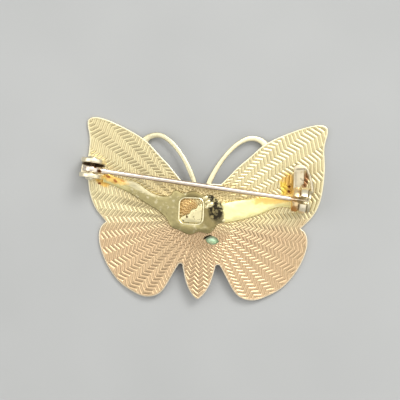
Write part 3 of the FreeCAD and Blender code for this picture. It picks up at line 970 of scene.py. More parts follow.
@dataclass(frozen=True)
class StrapGold:
    """The strap's gilding: a painted reflection, olive on the left and middle and bright on the right, with
    painted highlights, painted shade, dark reflections, heat tints and rust.
    """

    # painted reflection: olive on the left and middle, bright on the right, with a wavering edge
    olive: Triple = (0.45, 0.385, 0.18)
    bright: Triple = (0.96, 0.88, 0.42)
    bright_from: Pair = (3.6, 5.2)
    bright_sway: float = 1.6
    # painted highlight at the hinge end
    hinge_end: Pair = (-13.0, -16.0)
    hinge_share: float = 0.8
    # painted sheen in pale spots
    pale: Cloud = Cloud((0.88, 0.80, 0.54), Grain(0.9, 4.0), (0.56, 0.72), 0.55)
    # mottle of the painted dark reflection
    dark_reflection_grain: Grain = Grain(0.5, 4.0)
    dark_reflection_span: Pair = (0.66, 0.46)
    sheen: Sheen = Sheen((0.22, 0.42), Grain(1.0), Grain(1.1), 0.10)
    # painted light: a painted highlight along the left arm's upper edge, then painted shade and dark
    # reflection over the middle
    painted_light: tuple[StainAndLight, ...] = (
        StainAndLight((-11.9, 3.9), (3.6, 0.8), (0.84, 0.77, 0.52), 0.6, -22.0),
        StainAndLight((-1.4, 3.0), (2.2, 0.8), OLIVE_SHADE, 0.8),
        StainAndLight((1.6, -1.6), (2.2, 2.6), OLIVE_SHADE, 0.75, 0.0, 0.2),
        StainAndLight((-2.2, -4.2), (3.6, 1.1), OLIVE_SHADE, 0.45, 0.0, 0.2),
        StainAndLight((3.3, -1.3), (0.9, 2.0), (0.13, 0.11, 0.06), 0.65, 12.0, 0.3),
    )
    # painted dark reflection, mottled, over the middle's right lobe
    dark_reflections: tuple[StainAndLight, ...] = (
        StainAndLight((2.5, 0.3), (1.5, 2.3), SHADOW_AND_DARK_REFLECTION, 1.0, 8.0, 0.25, 1.2),
        StainAndLight((1.6, 2.5), (1.0, 0.7), SHADOW_AND_DARK_REFLECTION, 1.0, 8.0, 0.25, 1.2),
    )
    burns_and_reflection: tuple[StainAndLight, ...] = (
        # painted warm reflection of the pin on the right arm, just under it; the rest are heat tints and
        # rust by the hinge
        StainAndLight((13.6, 2.6), (4.8, 1.0), (0.88, 0.58, 0.16), 0.85, 8.0, 0.25),
        StainAndLight((-17.0, 5.5), (2.7, 1.0), (0.86, 0.54, 0.14), 0.9, -22.0, 0.3),
        speck((-17.9, 5.6), (0.42, 0.26), RUST, -30.0, 0.6),
        speck((-16.6, 4.85), (0.42, 0.26), RUST, -30.0, 0.6),
        StainAndLight((-15.2, 4.9), (0.5, 0.18), (0.62, 0.28, 0.07), 0.8, -25.0, 0.6, 0.4),
    )

    def make(self) -> bpy.types.Material:
        """Make the material.

        Returns:
            The material.
        """
        paint = Paint("strap_gold")
        # painted reflection: olive to the left, bright to the right
        sway = paint.math("MULTIPLY", paint.noise(Grain(1.5, 2.0)), self.bright_sway)
        bright = paint.band(paint.math("ADD", paint.axis("X"), sway), self.bright_from)
        colour = paint.clouded(paint.mix(bright, self.olive, self.bright), self.pale)
        # painted highlight at the hinge end
        hinge = paint.band(paint.axis("X"), self.hinge_end, self.hinge_share)
        colour = paint.mix(hinge, colour, self.bright)
        colour = paint.stained_and_lit(colour, self.painted_light)
        # painted dark reflection, mottled
        patchy = paint.band(paint.noise(self.dark_reflection_grain), self.dark_reflection_span)
        colour = paint.stained_and_lit(colour, self.dark_reflections, patchy)
        return paint.metal(paint.stained_and_lit(colour, self.burns_and_reflection), self.sheen)


@dataclass(frozen=True)
class SpottedMetal:
    """A metal of one tone with soft spots, stains and painted light and, where it has a top, painted shade
    low in the hinge's deep gap.
    """

    name: str
    tone: Triple
    clouds: tuple[Cloud, ...]
    sheen: Sheen
    stains_and_light: tuple[StainAndLight, ...] = ()
    # painted shade low in the hinge: the height it reaches, its fade and its oval
    hinge_shade_top: float = 0.0
    hinge_shade_fade: float = 0.8
    hinge_shade: StainAndLight = StainAndLight((-20.8, 7.75), (2.6, 0.48), DEEP_SHADE, 1.0, -6.3, 0.0)

    def make(self) -> bpy.types.Material:
        """Make the material.

        Returns:
            The material.
        """
        paint = Paint(self.name)
        colour = paint.clouded(self.tone, *self.clouds)
        # painted shade: darker low down inside the oval round the hinge's gap
        if self.hinge_shade_top:
            low = paint.band(paint.axis("Z"), (self.hinge_shade_top, self.hinge_shade_top - self.hinge_shade_fade))
            colour = paint.stained_and_lit(colour, [self.hinge_shade], low)
        return paint.metal(paint.stained_and_lit(colour, self.stains_and_light), self.sheen)


def fitting_gold(
    name: str, tone: Triple = (0.92, 0.84, 0.62), worn: Triple = (0.60, 0.34, 0.10), amount: float = 0.30,
    stains_and_light: tuple[StainAndLight, ...] = (), hinge_shade_top: float = 0.0,
) -> SpottedMetal:
    """Describe the bright cream gilding of the hinge, hook and catch, brown where it has worn.

    Args:
        name: The material's name.
        tone: Its main tone.
        worn: Its tone where it has worn.
        amount: How strong the worn tone is.
        stains_and_light: Painted shade on it.
        hinge_shade_top: Height that the painted shade deep in the hinge reaches, or 0 for none.

    Returns:
        The finish.
    """
    return SpottedMetal(
        name, tone, (Cloud(worn, Grain(0.8, 4.0), (0.54, 0.70), amount),),
        Sheen((0.30, 0.42), Grain(1.4, 2.0), Grain(0.6, 2.0), 0.010, 0.4, 1.0), stains_and_light, hinge_shade_top,
    )


SMOOTH_GOLD = SpottedMetal(
    "smooth_gold", (0.84, 0.78, 0.52),
    (
        Cloud((0.52, 0.42, 0.24), Grain(0.35, 4.0), (0.52, 0.68), 0.35),
        Cloud((0.66, 0.56, 0.34), Grain(2.5, 2.0), (0.3, 0.75), 0.25),
    ),
    Sheen((0.22, 0.38), Grain(0.8), Grain(0.2), 0.010),
)
SOLDER = SpottedMetal(
    "solder", (0.79, 0.71, 0.42), (Cloud((0.12, 0.08, 0.03), Grain(0.55), (0.60, 0.68)),),
    Sheen((0.28, 0.42), Grain(0.7, 2.0), Grain(0.6), 0.04),
)
PIN_METAL = SpottedMetal(
    "pin_metal", (0.84, 0.74, 0.62),
    (Cloud((0.50, 0.36, 0.27), Grain(0.7, 4.0, (0.4, 1.0, 1.0)), (0.58, 0.72), 0.5),),
    Sheen((0.24, 0.36), Grain(1.5, 2.0), Grain(0.3, 2.0, (0.15, 1.0, 1.0)), 0.006, metallic=1.0),
    (
        StainAndLight((-1.06, 4.27), (18.0, 0.12), ROSE_SHADE, 0.75, -6.3, 0.1),
        StainAndLight((-0.98, 5.02), (18.0, 0.11), ROSE_SHADE, 0.45, -6.3, 0.1),
        speck((-22.7, 7.35), (0.24, 0.18), BROWN),
        speck((-20.2, 7.2), (0.26, 0.20), BROWN),
        speck((-19.4, 6.5), (0.40, 0.30), BROWN),
    ),
)
HOOK_GOLD = fitting_gold("hook_gold", (1.0, 0.91, 0.68))
# painted shade deep in the hinge, on the bracket and on the rivet
HINGE_GOLD = fitting_gold("hinge_gold", hinge_shade_top=3.0)
RIVET_GOLD = fitting_gold("rivet_gold", hinge_shade_top=9.0)
CATCH_GOLD = fitting_gold("catch_gold", (0.66, 0.59, 0.40), (0.36, 0.20, 0.07), 0.6)
CHEEK_GOLD = fitting_gold(
    "cheek_gold", (0.96, 0.74, 0.42), (0.46, 0.20, 0.05), 0.6,
    (
        # painted shade on the cheek's lower part, and a line of painted shade in the gap beside the hook
        StainAndLight((17.0, 0.6), (0.8, 0.75), (0.62, 0.27, 0.05), 0.8, 0.0, 0.35, 0.6),
        StainAndLight((17.95, 1.2), (0.14, 0.9), DEEP_SHADE, 0.6, -6.0, 0.2, 0.5),
    ),
)
LEVER_GOLD = fitting_gold(
    "lever_gold", (0.65, 0.57, 0.40), (0.40, 0.27, 0.13), 0.6,
    (
        # painted shade under the thumb bar, along the stout arm's left edge, and between that arm and the
        # hook
        StainAndLight((18.2, 8.3), (1.1, 0.18), DEEP_SHADE, 0.55, 6.0, 0.25, 0.6),
        StainAndLight((17.3, 6.6), (0.25, 1.4), DEEP_SHADE, 0.2, 2.0, 0.25, 0.6),
        StainAndLight((18.5, 6.3), (0.5, 0.16), DEEP_SHADE, 0.4, -40.0, 0.25, 0.6),
    ),
)


@dataclass(frozen=True)
class GreenGlass:
    """Mint green cut glass."""

    tone: Triple = (0.84, 1.0, 0.75)
    deep: Cloud = Cloud((0.60, 0.98, 0.62), Grain(0.8, 2.0), (0.3, 0.7))

    def make(self) -> bpy.types.Material:
        """Make the material.

        Returns:
            The material.
        """
        paint = Paint("green_glass")
        return paint.finish(
            Base_Color=paint.clouded(self.tone, self.deep), Roughness=0.08, IOR=1.52,
            Transmission_Weight=0.15, Coat_Weight=0.5, Coat_Roughness=0.05,
        )


@dataclass(frozen=True)
class PaleFloor:
    """The plain pale floor under the brooch."""

    tone: Triple = (0.40, 0.41, 0.41)
    cloud: Cloud = Cloud((0.43, 0.44, 0.44), Grain(30.0, 2.0), (0.2, 0.8))

    def make(self) -> bpy.types.Material:
        """Make the material."""
        paint = Paint("pale_floor")
        return paint.finish(Base_Color=paint.clouded(self.tone, self.cloud), Roughness=0.8)


@dataclass(frozen=True)
class Dress:
    """How a piece is dressed: its material, body and slot."""

    material: bpy.types.Material
    body: Body
    metal: Metal


def make_piece(
    name: str, shape: Shape, dress: Dress, replaces: str = "butterfly", crease: float = 40.0
) -> bpy.types.Object:
    """Make a dressed piece from a shape; the arguments are those of finish_piece."""
    return finish_piece(name, make_mesh(name, shape), dress, replaces, crease)


def make_mesh(name: str, shape: Shape) -> bpy.types.Mesh:
    """Make a mesh in metres from a shape.

    Args:
        name: The mesh's name.
        shape: Its points and faces in millimetres.

    Returns:
        The mesh.
    """
    mesh = bpy.data.meshes.new(name)
    mesh.from_pydata([tuple(c * MM for c in point) for point in shape.points], [], shape.faces)
    return mesh


def turn_outward(mesh: bpy.types.Mesh) -> None:
    """Turn a mesh's faces outward.

    Args:
        mesh: The mesh, changed in place.
    """
    work = bmesh.new()
    work.from_mesh(mesh)
    bmesh.ops.recalc_face_normals(work, faces=work.faces)
    work.to_mesh(mesh)
    work.free()


def finish_piece(
    name: str, mesh: bpy.types.Mesh, dress: Dress, replaces: str, crease: float
) -> bpy.types.Object:
    """Turn a mesh's faces outward, shade it smooth and link it as a dressed piece.

    Args:
        name: The piece's name.
        mesh: Its mesh in metres.
        dress: Its material, body and slot.
        replaces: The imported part's node that it stands for.
        crease: Angle in degrees above which an edge stays crisp.

    Returns:
        The object, riding on its body.
    """
    turn_outward(mesh)
    mesh.polygons.foreach_set("use_smooth", [True] * len(mesh.polygons))
    mesh.set_sharp_from_angle(angle=math.radians(crease))
    mesh.materials.clear()
    mesh.materials.append(dress.material)
    piece = bpy.data.objects.new(name, mesh)
    bpy.context.scene.collection.objects.link(piece)
    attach(piece, dress.body.value)
    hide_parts(replaces)
    return piece


@dataclass
class WingOutline:
    """The plate's outline from one table for both halves, the right one reaching further."""

    lean: float = 0.29
    spread: float = 0.037
    step: float = 0.35

    def side(self, points: Sequence[Pair], hand: int) -> list[Pair]:
        """Take a table to one side: hand is 1 on the right and -1 on the left."""
        scale = 1 + hand * self.spread
        return [(hand * x * scale - self.lean, y) for x, y in points]

    def half(self, hand: int) -> list[Pair]:
        """Run from the tail's tip to the antenna's root, past the antenna's opening.

        Args:
            hand: 1 for the right half and -1 for the left one.

        Returns:
            Points of that half of the outline.
        """
        tail, wing = self.side(TAIL_SIDE, hand), self.side(LOWER_WING, hand)
        top, root = self.side(WING_TOP, hand), self.side(ANTENNA_OUTSIDE, hand)[-1]
        upper = spline(self.side(UPPER_WING, hand), self.step)
        return [
            *spline(tail, self.step),
            *arc(tail[-1], self.side([TAIL_NOTCH_TOP], hand)[0], wing[0], self.step / 2),
            *spline(wing, self.step), *upper, *straight(upper[-1], top[0], self.step),
            *spline(top, self.step), *straight(top[-1], root, self.step),
        ]

    def loop(self) -> list[Pair]:
        """The whole outline, running to the left from the tail's tip.

        Returns:
            The closed outline's points.
        """
        right, left = self.half(1), self.half(-1)
        tip = arc(left[0], (-self.lean, TAIL_TIP_Y), right[0], self.step / 2)
        fork = arc(right[-1], (-self.lean, FORK_BOTTOM_Y), left[-1], self.step)
        return closed(right, fork, left[::-1], tip)


@dataclass
class StampedWings:
    """The thin plate with its stamped zigzag rings, smooth rim and the stone's hole."""

    dress: Dress
    pitch: float = 0.82
    zigzags: int = 42
    swing: float = 0.40
    ring_start: float = 0.35
    relief: float = 0.065
    front_relief: float = 0.06
    rim: float = 0.28
    margin: float = 0.01
    edge_radius: float = 0.12
    middle: float = 1.3
    fade: float = 0.12
    clearance: float = 0.02
    turns: tuple[Pair, ...] = ((38, 7.9), (140, 3.2), (210, 5.7), (270, 8.1), (330, 4.8))
    back_rows: tuple[Pair, ...] = ((0.0, 1.0), (0.14, 0.0), (0.79, 0.0))
    front_rows: tuple[Pair, ...] = ((0.0, 1.0), (0.45, 0.0))
    hole_half: Pair = (1.30, 0.82)
    hole_heights: Pair = (0.3, 3.3)
    hole_step: float = 0.12

    def corner_angles(self) -> np.ndarray:
        """Angles of the pattern's corner lines round one turn from straight down.

        Returns:
            The angles in radians.
        """
        across = np.array([angle for angle, _ in self.turns], float)
        shift = np.array([turn for _, turn in self.turns], float)
        half = 180 / self.zigzags
        guess = -90 + half * np.arange(2 * self.zigzags)
        return np.radians(guess + np.interp(guess % 360, across, shift, period=360))

    def zigzag(self, angles: np.ndarray) -> np.ndarray:
        """How far the rings swing outward at each angle.

        Args:
            angles: Angles in radians.

        Returns:
            The swing at each, between plus and minus the full swing.
        """
        corners = self.corner_angles()
        corners = np.concatenate([corners - math.tau, corners, corners + math.tau])
        heights = self.swing * np.where(np.arange(len(corners)) % 2 == 0, 1.0, -1.0)
        return np.interp(angles, corners, heights)

    def columns(self) -> tuple[np.ndarray, np.ndarray, np.ndarray]:
        """Find the rays that the pattern's net is built on.

        Returns:
            The angle of each ray, the rim's inner point on it, and the outline's point.
        """
        loop = inward(WingOutline().loop(), self.margin)
        outer = np.array(loop)
        inner = np.array(inward(loop, self.rim))
        angles = np.unwrap(np.arctan2(inner[:, 1], inner[:, 0]))
        angles = np.maximum.accumulate(angles) + np.arange(len(angles)) * 1e-7
        outer = np.vstack([outer, outer[:1]])
        inner = np.vstack([inner, inner[:1]])
        angles = np.append(angles, angles[0] + math.tau)
        corners = self.corner_angles()
        corners = angles[0] + (corners - angles[0]) % math.tau
        rays: list[tuple[float, np.ndarray, np.ndarray]] = [
            (angle, inner[k], outer[k]) for k, angle in enumerate(angles[:-1])
        ]
        for angle in corners:
            k = int(np.searchsorted(angles, angle)) - 1
            normal = np.array([-math.sin(angle), math.cos(angle)])
            start, end = inner[k] @ normal, inner[k + 1] @ normal
            share = float(np.clip(start / (start - end), 0, 1)) if start != end else 0.5
            if min(share, 1 - share) >= self.clearance:
                ends = (line[k] + share * (line[k + 1] - line[k]) for line in (inner, outer))
                rays.append((angle, *ends))
        rays.sort(key=lambda ray: ray[0])
        turns, starts, stops = zip(*rays)
        return np.array(turns), np.array(starts), np.array(stops)

    def face(
        self, angles: np.ndarray, inner: np.ndarray, rows: Sequence[Pair], surface: float, relief: float
    ) -> tuple[Shape, list[int]]:
        """Build one side of the plate as a net of rays and rings.

        Args:
            angles: The rays' angles.
            inner: Where each ray meets the rim.
            rows: For each ring of a pitch, its place in the pitch and its depth share.
            surface: Offset of the ridges from the plate's front.
            relief: Offset of the valleys from the ridges.

        Returns:
            The side's shape, and the point on the rim of each ray.
        """
        reach = np.linalg.norm(inner, axis=1)
        turns = int(math.ceil(reach.max() / self.pitch)) + 1
        radii = np.array([self.pitch * (k + place) for k in range(turns) for place, _ in rows])
        deep = np.array([depth for _ in range(turns) for _, depth in rows])
        net = self.ring_start + radii[:, None] + self.zigzag(angles)[None, :]
        low = np.maximum((net <= self.middle + self.clearance).sum(axis=0) - 1, 0)
        high = (net < reach[None, :] - self.clearance).sum(axis=0)
        index = np.clip(np.arange(len(radii))[:, None], low[None, :], high[None, :])
        counts = high - low + 1
        starts = np.concatenate([[0], np.cumsum(counts)[:-1]])
        names = starts[None, :] + index - low[None, :]
        total = int(counts.sum())
        radius, depth, phase = np.zeros((3, total))
        ray = np.zeros(total, int)
        first_ring = self.ring_start + self.zigzag(angles)
        for row in range(len(radii)):
            at = names[row]
            own = np.clip(net[row], self.middle, reach)
            own = np.where(index[row] == low, self.middle, own)
            own = np.where(index[row] == high, reach, own)
            radius[at] = own
            phase[at] = np.abs(((own - first_ring) / self.pitch + 1) % 2 - 1)
            depth[at] = np.where((index[row] > low) & (index[row] < high), deep[row], 0.0)
            ray[at] = np.arange(len(angles))
        plan = np.stack([radius * np.cos(angles[ray]), radius * np.sin(angles[ray])], axis=1)
        plan[names[-1]] = inner
        depth *= np.clip(nearest(plan, inner) / self.fade, 0, 1)
        shape = Shape(
            PLATE.place_all(plan, surface + relief * depth), [], depth.tolist(), phase.tolist()
        )
        rings = names.tolist()
        shape.walls(rings)
        shape.wall(shape.row(PLATE.place_all(np.zeros((1, 2)), surface)), rings[0])
        return shape, rings[-1]

    def rim_rows(self, inner: np.ndarray, outer: np.ndarray) -> list[list[Triple]]:
        """Lay the rim's rounded edge round the plate, from its back to its front.

        Args:
            inner: The rim's inner points.
            outer: The outline's points.

        Returns:
            Rows of points round the rim.
        """
        share = self.edge_radius / self.rim
        back, front = [], []
        for angle in map(math.radians, EDGE_ANGLES):
            plan = outer + share * (1 - math.cos(angle)) * (inner - outer)
            drop = self.edge_radius * (1 - math.sin(angle))
            back.append(PLATE.place_all(plan, PLATE.thickness - drop))
            front.append(PLATE.place_all(plan, drop))
        return back + front[::-1]

    def cutter(self) -> Shape:
        """The lens-shaped hole behind the stone, as a solid.

        Returns:
            The closed solid.
        """
        along, across = self.hole_half
        sides = [(-along, 0), (0, -across), (along, 0)], [(-along, 0), (0, across), (along, 0)]
        under, over = (arc(*side, self.hole_step) for side in sides)
        loop = [STONE.point(u, v) for u, v in closed(under, over[::-1])]
        shape = Shape()
        low, high = (shape.row([(x, y, z) for x, y in loop]) for z in self.hole_heights)
        shape.faces += [tuple(reversed(low)), tuple(high)]
        shape.wall(low, high)
        return shape

    def build(self) -> Pieces:
        """Build the plate, cut its hole and dress it.

        Returns:
            The plate.
        """
        angles, inner, outer = self.columns()
        shape, back_rim = self.face(angles, inner, self.back_rows, PLATE.thickness, -self.relief)
        front, front_rim = self.face(angles, inner, self.front_rows, 0.0, self.front_relief)
        front.phases = [-1.0] * len(front.points)
        first_front = len(shape.points)
        shape.add(front)
        rim = [shape.row(row, -1.0) for row in self.rim_rows(inner, outer)]
        shape.walls([back_rim, *rim, [first_front + k for k in front_rim]])
        return [self.pierce(shape)]

    def pierce(self, shape: Shape) -> bpy.types.Object:
        """Cut the stone's hole through the plate and link the plate as a piece.

        Args:
            shape: The plate without its hole.

        Returns:
            The finished plate.
        """
        items = []
        for name, solid in (("wing_plate_blank", shape), ("stone_hole", self.cutter())):
            mesh = make_mesh(name, solid)
            turn_outward(mesh)
            items.append(bpy.data.objects.new(name, mesh))
            bpy.context.scene.collection.objects.link(items[-1])
        blank, hole = items
        for name, values in (("groove", shape.depths), ("phase", shape.phases)):
            layer = blank.data.attributes.new(name, "FLOAT", "POINT")
            layer.data.foreach_set("value", np.array(values, np.float32))
        cutting = blank.modifiers.new("hole", "BOOLEAN")
        cutting.operation = "DIFFERENCE"
        cutting.solver = "EXACT"
        cutting.object = hole
        bpy.context.view_layer.update()
        graph = bpy.context.evaluated_depsgraph_get()
        mesh = bpy.data.meshes.new_from_object(blank.evaluated_get(graph))
        for item in items:
            bpy.data.objects.remove(item)
        mesh.name = "wing_plate"
        return finish_piece("wing_plate", mesh, self.dress, "butterfly", 50.0)


@dataclass
class Antennae:
    """The two looped antennae, each a smooth band that runs into the plate at both ends."""

    dress: Dress
    step: float = 0.4
    sunk: float = 0.02
    margin: float = 0.01
    edge_radius: float = 0.18
    foot: tuple[Pair, ...] = ((1.05, 6.05), (1.75, 6.05))
    head: tuple[Pair, ...] = ((11.20, 13.75), (12.15, 14.45))

    def build(self) -> Pieces:
        """Build and dress both antennae.

        Returns:
            The right antenna and the left one.
        """
        outline = WingOutline()
        pieces = []
        for hand, side in ((1, "right"), (-1, "left")):
            loop = closed(
                spline(outline.side(ANTENNA_OUTSIDE, hand), self.step), outline.side(self.foot, hand),
                spline(outline.side(ANTENNA_INSIDE, hand), self.step), outline.side(self.head, hand),
            )
            loop = inward(loop[::hand], self.margin)
            shape = slab([loop], self.sunk, PLATE.thickness - self.sunk, self.edge_radius, PLATE.place)
            pieces.append(make_piece(f"antenna_{side}", shape, self.dress, crease=60.0))
        return pieces


@dataclass
class Strap:
    """The strap soldered across the back, with its window, window rim and solder."""

    dress: Dress
    rim_dress: Dress
    solder_dress: Dress
    step: float = 0.4
    low: float = 0.40
    high: float = 1.15
    edge_radius: float = 0.18
    window_middle: Pair = (-2.0, 1.45)
    window_half: Pair = (2.15, 2.35)
    window_corner: float = 1.0
    spacing: float = 0.7
    rim_radius: float = 0.12
    rim_sunk: float = 0.06
    pool_heights: Pair = (0.45, 0.86)
    pool_edge_radius: float = 0.25
    pool_spacing: float = 0.5
    blob_sunk: float = 0.08
    blob_width: float = 0.8
    blob_lean: float = 0.25
    blobs: tuple[tuple[float, float, float, float], ...] = (
        (0.55, 4.05, 0.62, 0.30), (1.05, 3.35, 0.55, 0.26), (1.55, 2.80, 0.72, 0.30),
        (0.95, 2.30, 0.42, 0.20), (4.15, -0.10, 0.40, 0.16),
    )

    def window(self, grow: float = 0.0) -> list[Pair]:
        """The window's rounded rectangle.

        Args:
            grow: How far the loop lies outside the window.

        Returns:
            Points of the loop, running to the left.
        """
        (x, y), (half_x, half_y) = self.window_middle, self.window_half
        corner = self.window_corner
        points = []
        for turn, hand_x, hand_y in ((0, 1, 1), (90, -1, 1), (180, -1, -1), (270, 1, -1)):
            for part in range(7):
                angle = math.radians(turn + 15 * part)
                points.append((
                    x + hand_x * (half_x - corner) + (corner + grow) * math.cos(angle),
                    y + hand_y * (half_y - corner) + (corner + grow) * math.sin(angle),
                ))
        return points

    def outline(self) -> list[Pair]:
        """The strap's outer outline.

        Returns:
            The closed outline's points.
        """
        return closed(
            spline(STRAP_MIDDLE_TOP, self.step), spline(STRAP_RIGHT_TOP, self.step),
            arc(STRAP_RIGHT_TOP[-1], STRAP_RIGHT_END, STRAP_RIGHT_BOTTOM[0], self.step),
            spline(STRAP_RIGHT_BOTTOM, self.step), spline(STRAP_MIDDLE_BOTTOM, self.step),
            spline(STRAP_LEFT_BOTTOM, self.step),
            straight(STRAP_LEFT_BOTTOM[-1], STRAP_LEFT_TOP[0], self.step)[:-2],
            spline(STRAP_LEFT_TOP, self.step)[2:],
        )

    def build(self) -> Pieces:
        """Build and dress the strap, the window's rim and the solder.

        Returns:
            The four pieces.
        """
        loops = [self.outline(), self.window()]
        strap = slab(loops, self.low, self.high, self.edge_radius, PLATE.place, self.spacing)
        path = [PLATE.place(x, y, self.high - self.rim_sunk) for x, y in self.window(self.rim_radius)]
        return [
            make_piece("strap", strap, self.dress),
            make_piece("window_rim", bead(path, self.rim_radius), self.rim_dress),
            make_piece("window_solder", self.pool(), self.solder_dress),
            make_piece("solder_blobs", self.drops(), self.solder_dress),
        ]

    def pool(self) -> Shape:
        """The smooth pool of solder in the window's lower right half.

        Returns:
            The pool.
        """
        (x, y), (half_x, half_y) = self.window_middle, self.window_half
        edge = [
            (x + half_x, y + 1.5), (x + 1.25, y + 1.25), (x + 0.75, y + 0.55), (x + 0.1, y + 0.35),
            (x - 0.35, y - 0.35), (x - 1.2, y - 0.75), (x - half_x, y - 1.35),
        ]
        frame_side = [
            (x - half_x, y - half_y + 0.3), (x - half_x + 0.4, y - half_y), (x + half_x - 0.4, y - half_y),
            (x + half_x, y - half_y + 0.4),
        ]
        loop = closed(spline(edge, self.step / 2), frame_side)
        return slab([loop], *self.pool_heights, self.pool_edge_radius, PLATE.place, self.pool_spacing)

    def drops(self) -> Shape:
        """Small drops of solder on the strap beside the window.

        Returns:
            The drops, as one shape.
        """
        shape = Shape()
        for x, y, radius, height in self.blobs:
            base = PLATE.place(x, y, self.high - self.blob_sunk)

            def placed(up: float, u: float, v: float, base: Triple = base) -> Triple:
                """Set a point of the drop on the strap."""
                return (base[0] + u, base[1] + self.blob_width * v + self.blob_lean * u, base[2] + up)

            shape.add(lathe([(0.0, 0.0), *dome(height, radius, 5), (height, 0.0)], placed, 14))
        return shape


def open_ring(
    outer: float, inner: float, half_gap: float = 0.0, half_mouth: float = 0.0, step: float = RING_STEP
) -> list[Pair]:
    """Outline of a ring that is open at its top.

    Args:
        outer: Outer radius.
        inner: Inner radius.
        half_gap: Half the width of a straight gap, or 0.
        half_mouth: Half the angle of a flared mouth in degrees, used where the gap is 0.
        step: Largest distance between two samples.

    Returns:
        The closed outline.
    """
    runs = []
    for radius in (outer, inner):
        half = math.asin(half_gap / radius) if half_gap else math.radians(half_mouth)
        turn = math.tau - 2 * half
        parts = math.ceil(turn * radius / step)
        angles = [math.pi / 2 + half + turn * part / parts for part in range(parts + 1)]
        runs.append([(radius * math.cos(angle), radius * math.sin(angle)) for angle in angles])
    return closed(runs[0], runs[1][::-1])


@dataclass
class HingeBracket:
    """Two upright round ears on a bridge, which hold the rivet."""

    dress: Dress
    radius: float = 2.2
    thickness: float = 0.85
    pitch: float = 2.85
    foot: float = 0.4
    bore: float = 0.52
    bridge_top: float = 1.15
    bridge_inset: float = 0.03
    bridge_edge: float = 0.12
    edge_radius: float = 0.16

    def build(self) -> Pieces:
        """Build and dress the bracket.

        Returns:
            The bracket.
        """
        bottom = self.foot - PIN.height
        crown = [
            (self.radius * math.cos(math.radians(a)), self.radius * math.sin(math.radians(a)))
            for a in range(0, 181, 6)
        ]
        profile = closed([(-self.radius, bottom), (self.radius, bottom)], crown)
        shape = Shape()
        for hand in (1, -1):
            middle = PIN.shift + hand * self.pitch / 2
            shape.add(slab(
                [profile, circle(self.bore, 24)], middle - self.thickness / 2, middle + self.thickness / 2,
                self.edge_radius, PIN.side_on,
            ))
        reach, half = self.radius - self.bridge_inset, self.pitch / 2
        floor = rectangle((-reach, PIN.shift - half), (reach, PIN.shift + half))
        shape.add(slab([floor], bottom, self.bridge_top - PIN.height, self.bridge_edge, PIN.point))
        return [make_piece("hinge_bracket", shape, self.dress)]


@dataclass
class CatchHook:
    """The catch's open band and the foot that stands on the strap."""

    dress: Dress
    outer: float = 2.445
    inner: float = 1.95
    width: float = 1.3
    mouth: float = 36.0
    foot_width: float = 2.0
    foot: float = 0.4
    foot_inset: float = 0.02
    foot_edge: float = 0.1
    edge_radius: float = 0.14

    def build(self) -> Pieces:
        """Build and dress the hook.

        Returns:
            The hook.
        """
        ring = open_ring(self.outer, self.inner, half_mouth=self.mouth / 2)
        half, side = self.width / 2, self.foot_width / 2
        shape = slab([ring], PIN.catch - half, PIN.catch + half, self.edge_radius, PIN.end_on)
        half -= self.foot_inset
        plan = rectangle((PIN.catch - half, -side), (PIN.catch + half, side))
        top = -(self.outer + self.inner) / 2
        shape.add(slab([plan], self.foot - PIN.height, top, self.foot_edge, PIN.point))
        return [make_piece("catch_hook", shape, self.dress)]


@dataclass
class StoneCup:
    """The oval wall on the plate's front that holds the stone."""

    dress: Dress
    half: Pair = (1.61, 1.16)
    wall: float = 0.4
    low: float = 0.5
    high: float = 2.0
    edge_radius: float = 0.12

    def oval(self, grow: float) -> list[Pair]:
        """Points of an oval outside the stone by a distance."""
        along, across = self.half[0] + grow, self.half[1] + grow
        return [STONE.point(along * u, across * v) for u, v in circle(1.0, 40)]

    def build(self) -> Pieces:
        """Build and dress the cup.

        Returns:
            The cup.
        """
        shape = slab(
            [self.oval(self.wall), self.oval(0.0)], self.low, self.high, self.edge_radius,
            lambda u, v, w: (u, v, w),
        )
        return [make_piece("stone_cup", shape, self.dress)]


@dataclass
class Pin:
    """The pin with its eye and the rivet that it turns on."""

    dress: Dress
    rivet_dress: Dress
    eye_radius: float = 1.7
    eye_width: float = 1.1
    eye_bore: float = 0.57
    eye_edge: float = 0.2
    collar_radius: float = 0.62
    collar_end: float = 3.1
    stem_radius: float = 0.45
    taper_start: float = 36.5
    length: float = 41.0
    rivet_radius: float = 0.5
    head_base: float = 1.89
    head_radius: float = 1.05
    head_height: float = 0.45

    def stem(self) -> Shape:
        """The stem with its collar and tapering point.

        Returns:
            The stem.
        """
        knob, stem = self.collar_radius, self.stem_radius
        profile = [
            (1.30, 0.0), (1.30, 0.50), (1.42, 0.50), (1.50, knob - 0.06), (1.62, knob), (2.20, knob),
            (2.32, knob - 0.05), (2.40, 0.53), (2.90, 0.52), (self.collar_end, 0.49), (3.25, stem),
            (12.0, stem), (24.0, stem), (self.taper_start, stem), (37.6, 0.40), (38.8, 0.30),
            (39.9, 0.19), (40.6, 0.12), (40.9, 0.07), (self.length, 0.0),
        ]
        return lathe(profile, PIN.point, 28)

    def build(self) -> Pieces:
        """Build and dress the pin and its rivet.

        Returns:
            The pin and its rivet.
        """
        eye = slab(
            [circle(self.eye_radius, 56), circle(self.eye_bore, 24)], -self.eye_width / 2,
            self.eye_width / 2, self.eye_edge, PIN.side_on,
        )
        head = dome(self.head_height, self.head_radius, 6)
        far = [(self.head_base + rise, radius) for rise, radius in head]
        end = self.head_base + self.head_height
        profile = [
            (-end, 0.0), *[(-along, radius) for along, radius in reversed(far)],
            (-self.head_base, self.rivet_radius), (self.head_base, self.rivet_radius), *far, (end, 0.0),
        ]
        rivet = lathe(profile, lambda a, u, v: PIN.point(u, a + PIN.shift, v), 28)
        return [
            make_piece("pin_with_eye", self.stem().add(eye), self.dress, "pin_stem"),
            make_piece("rivet", rivet, self.rivet_dress, "hinge_rivet", 50.0),
        ]


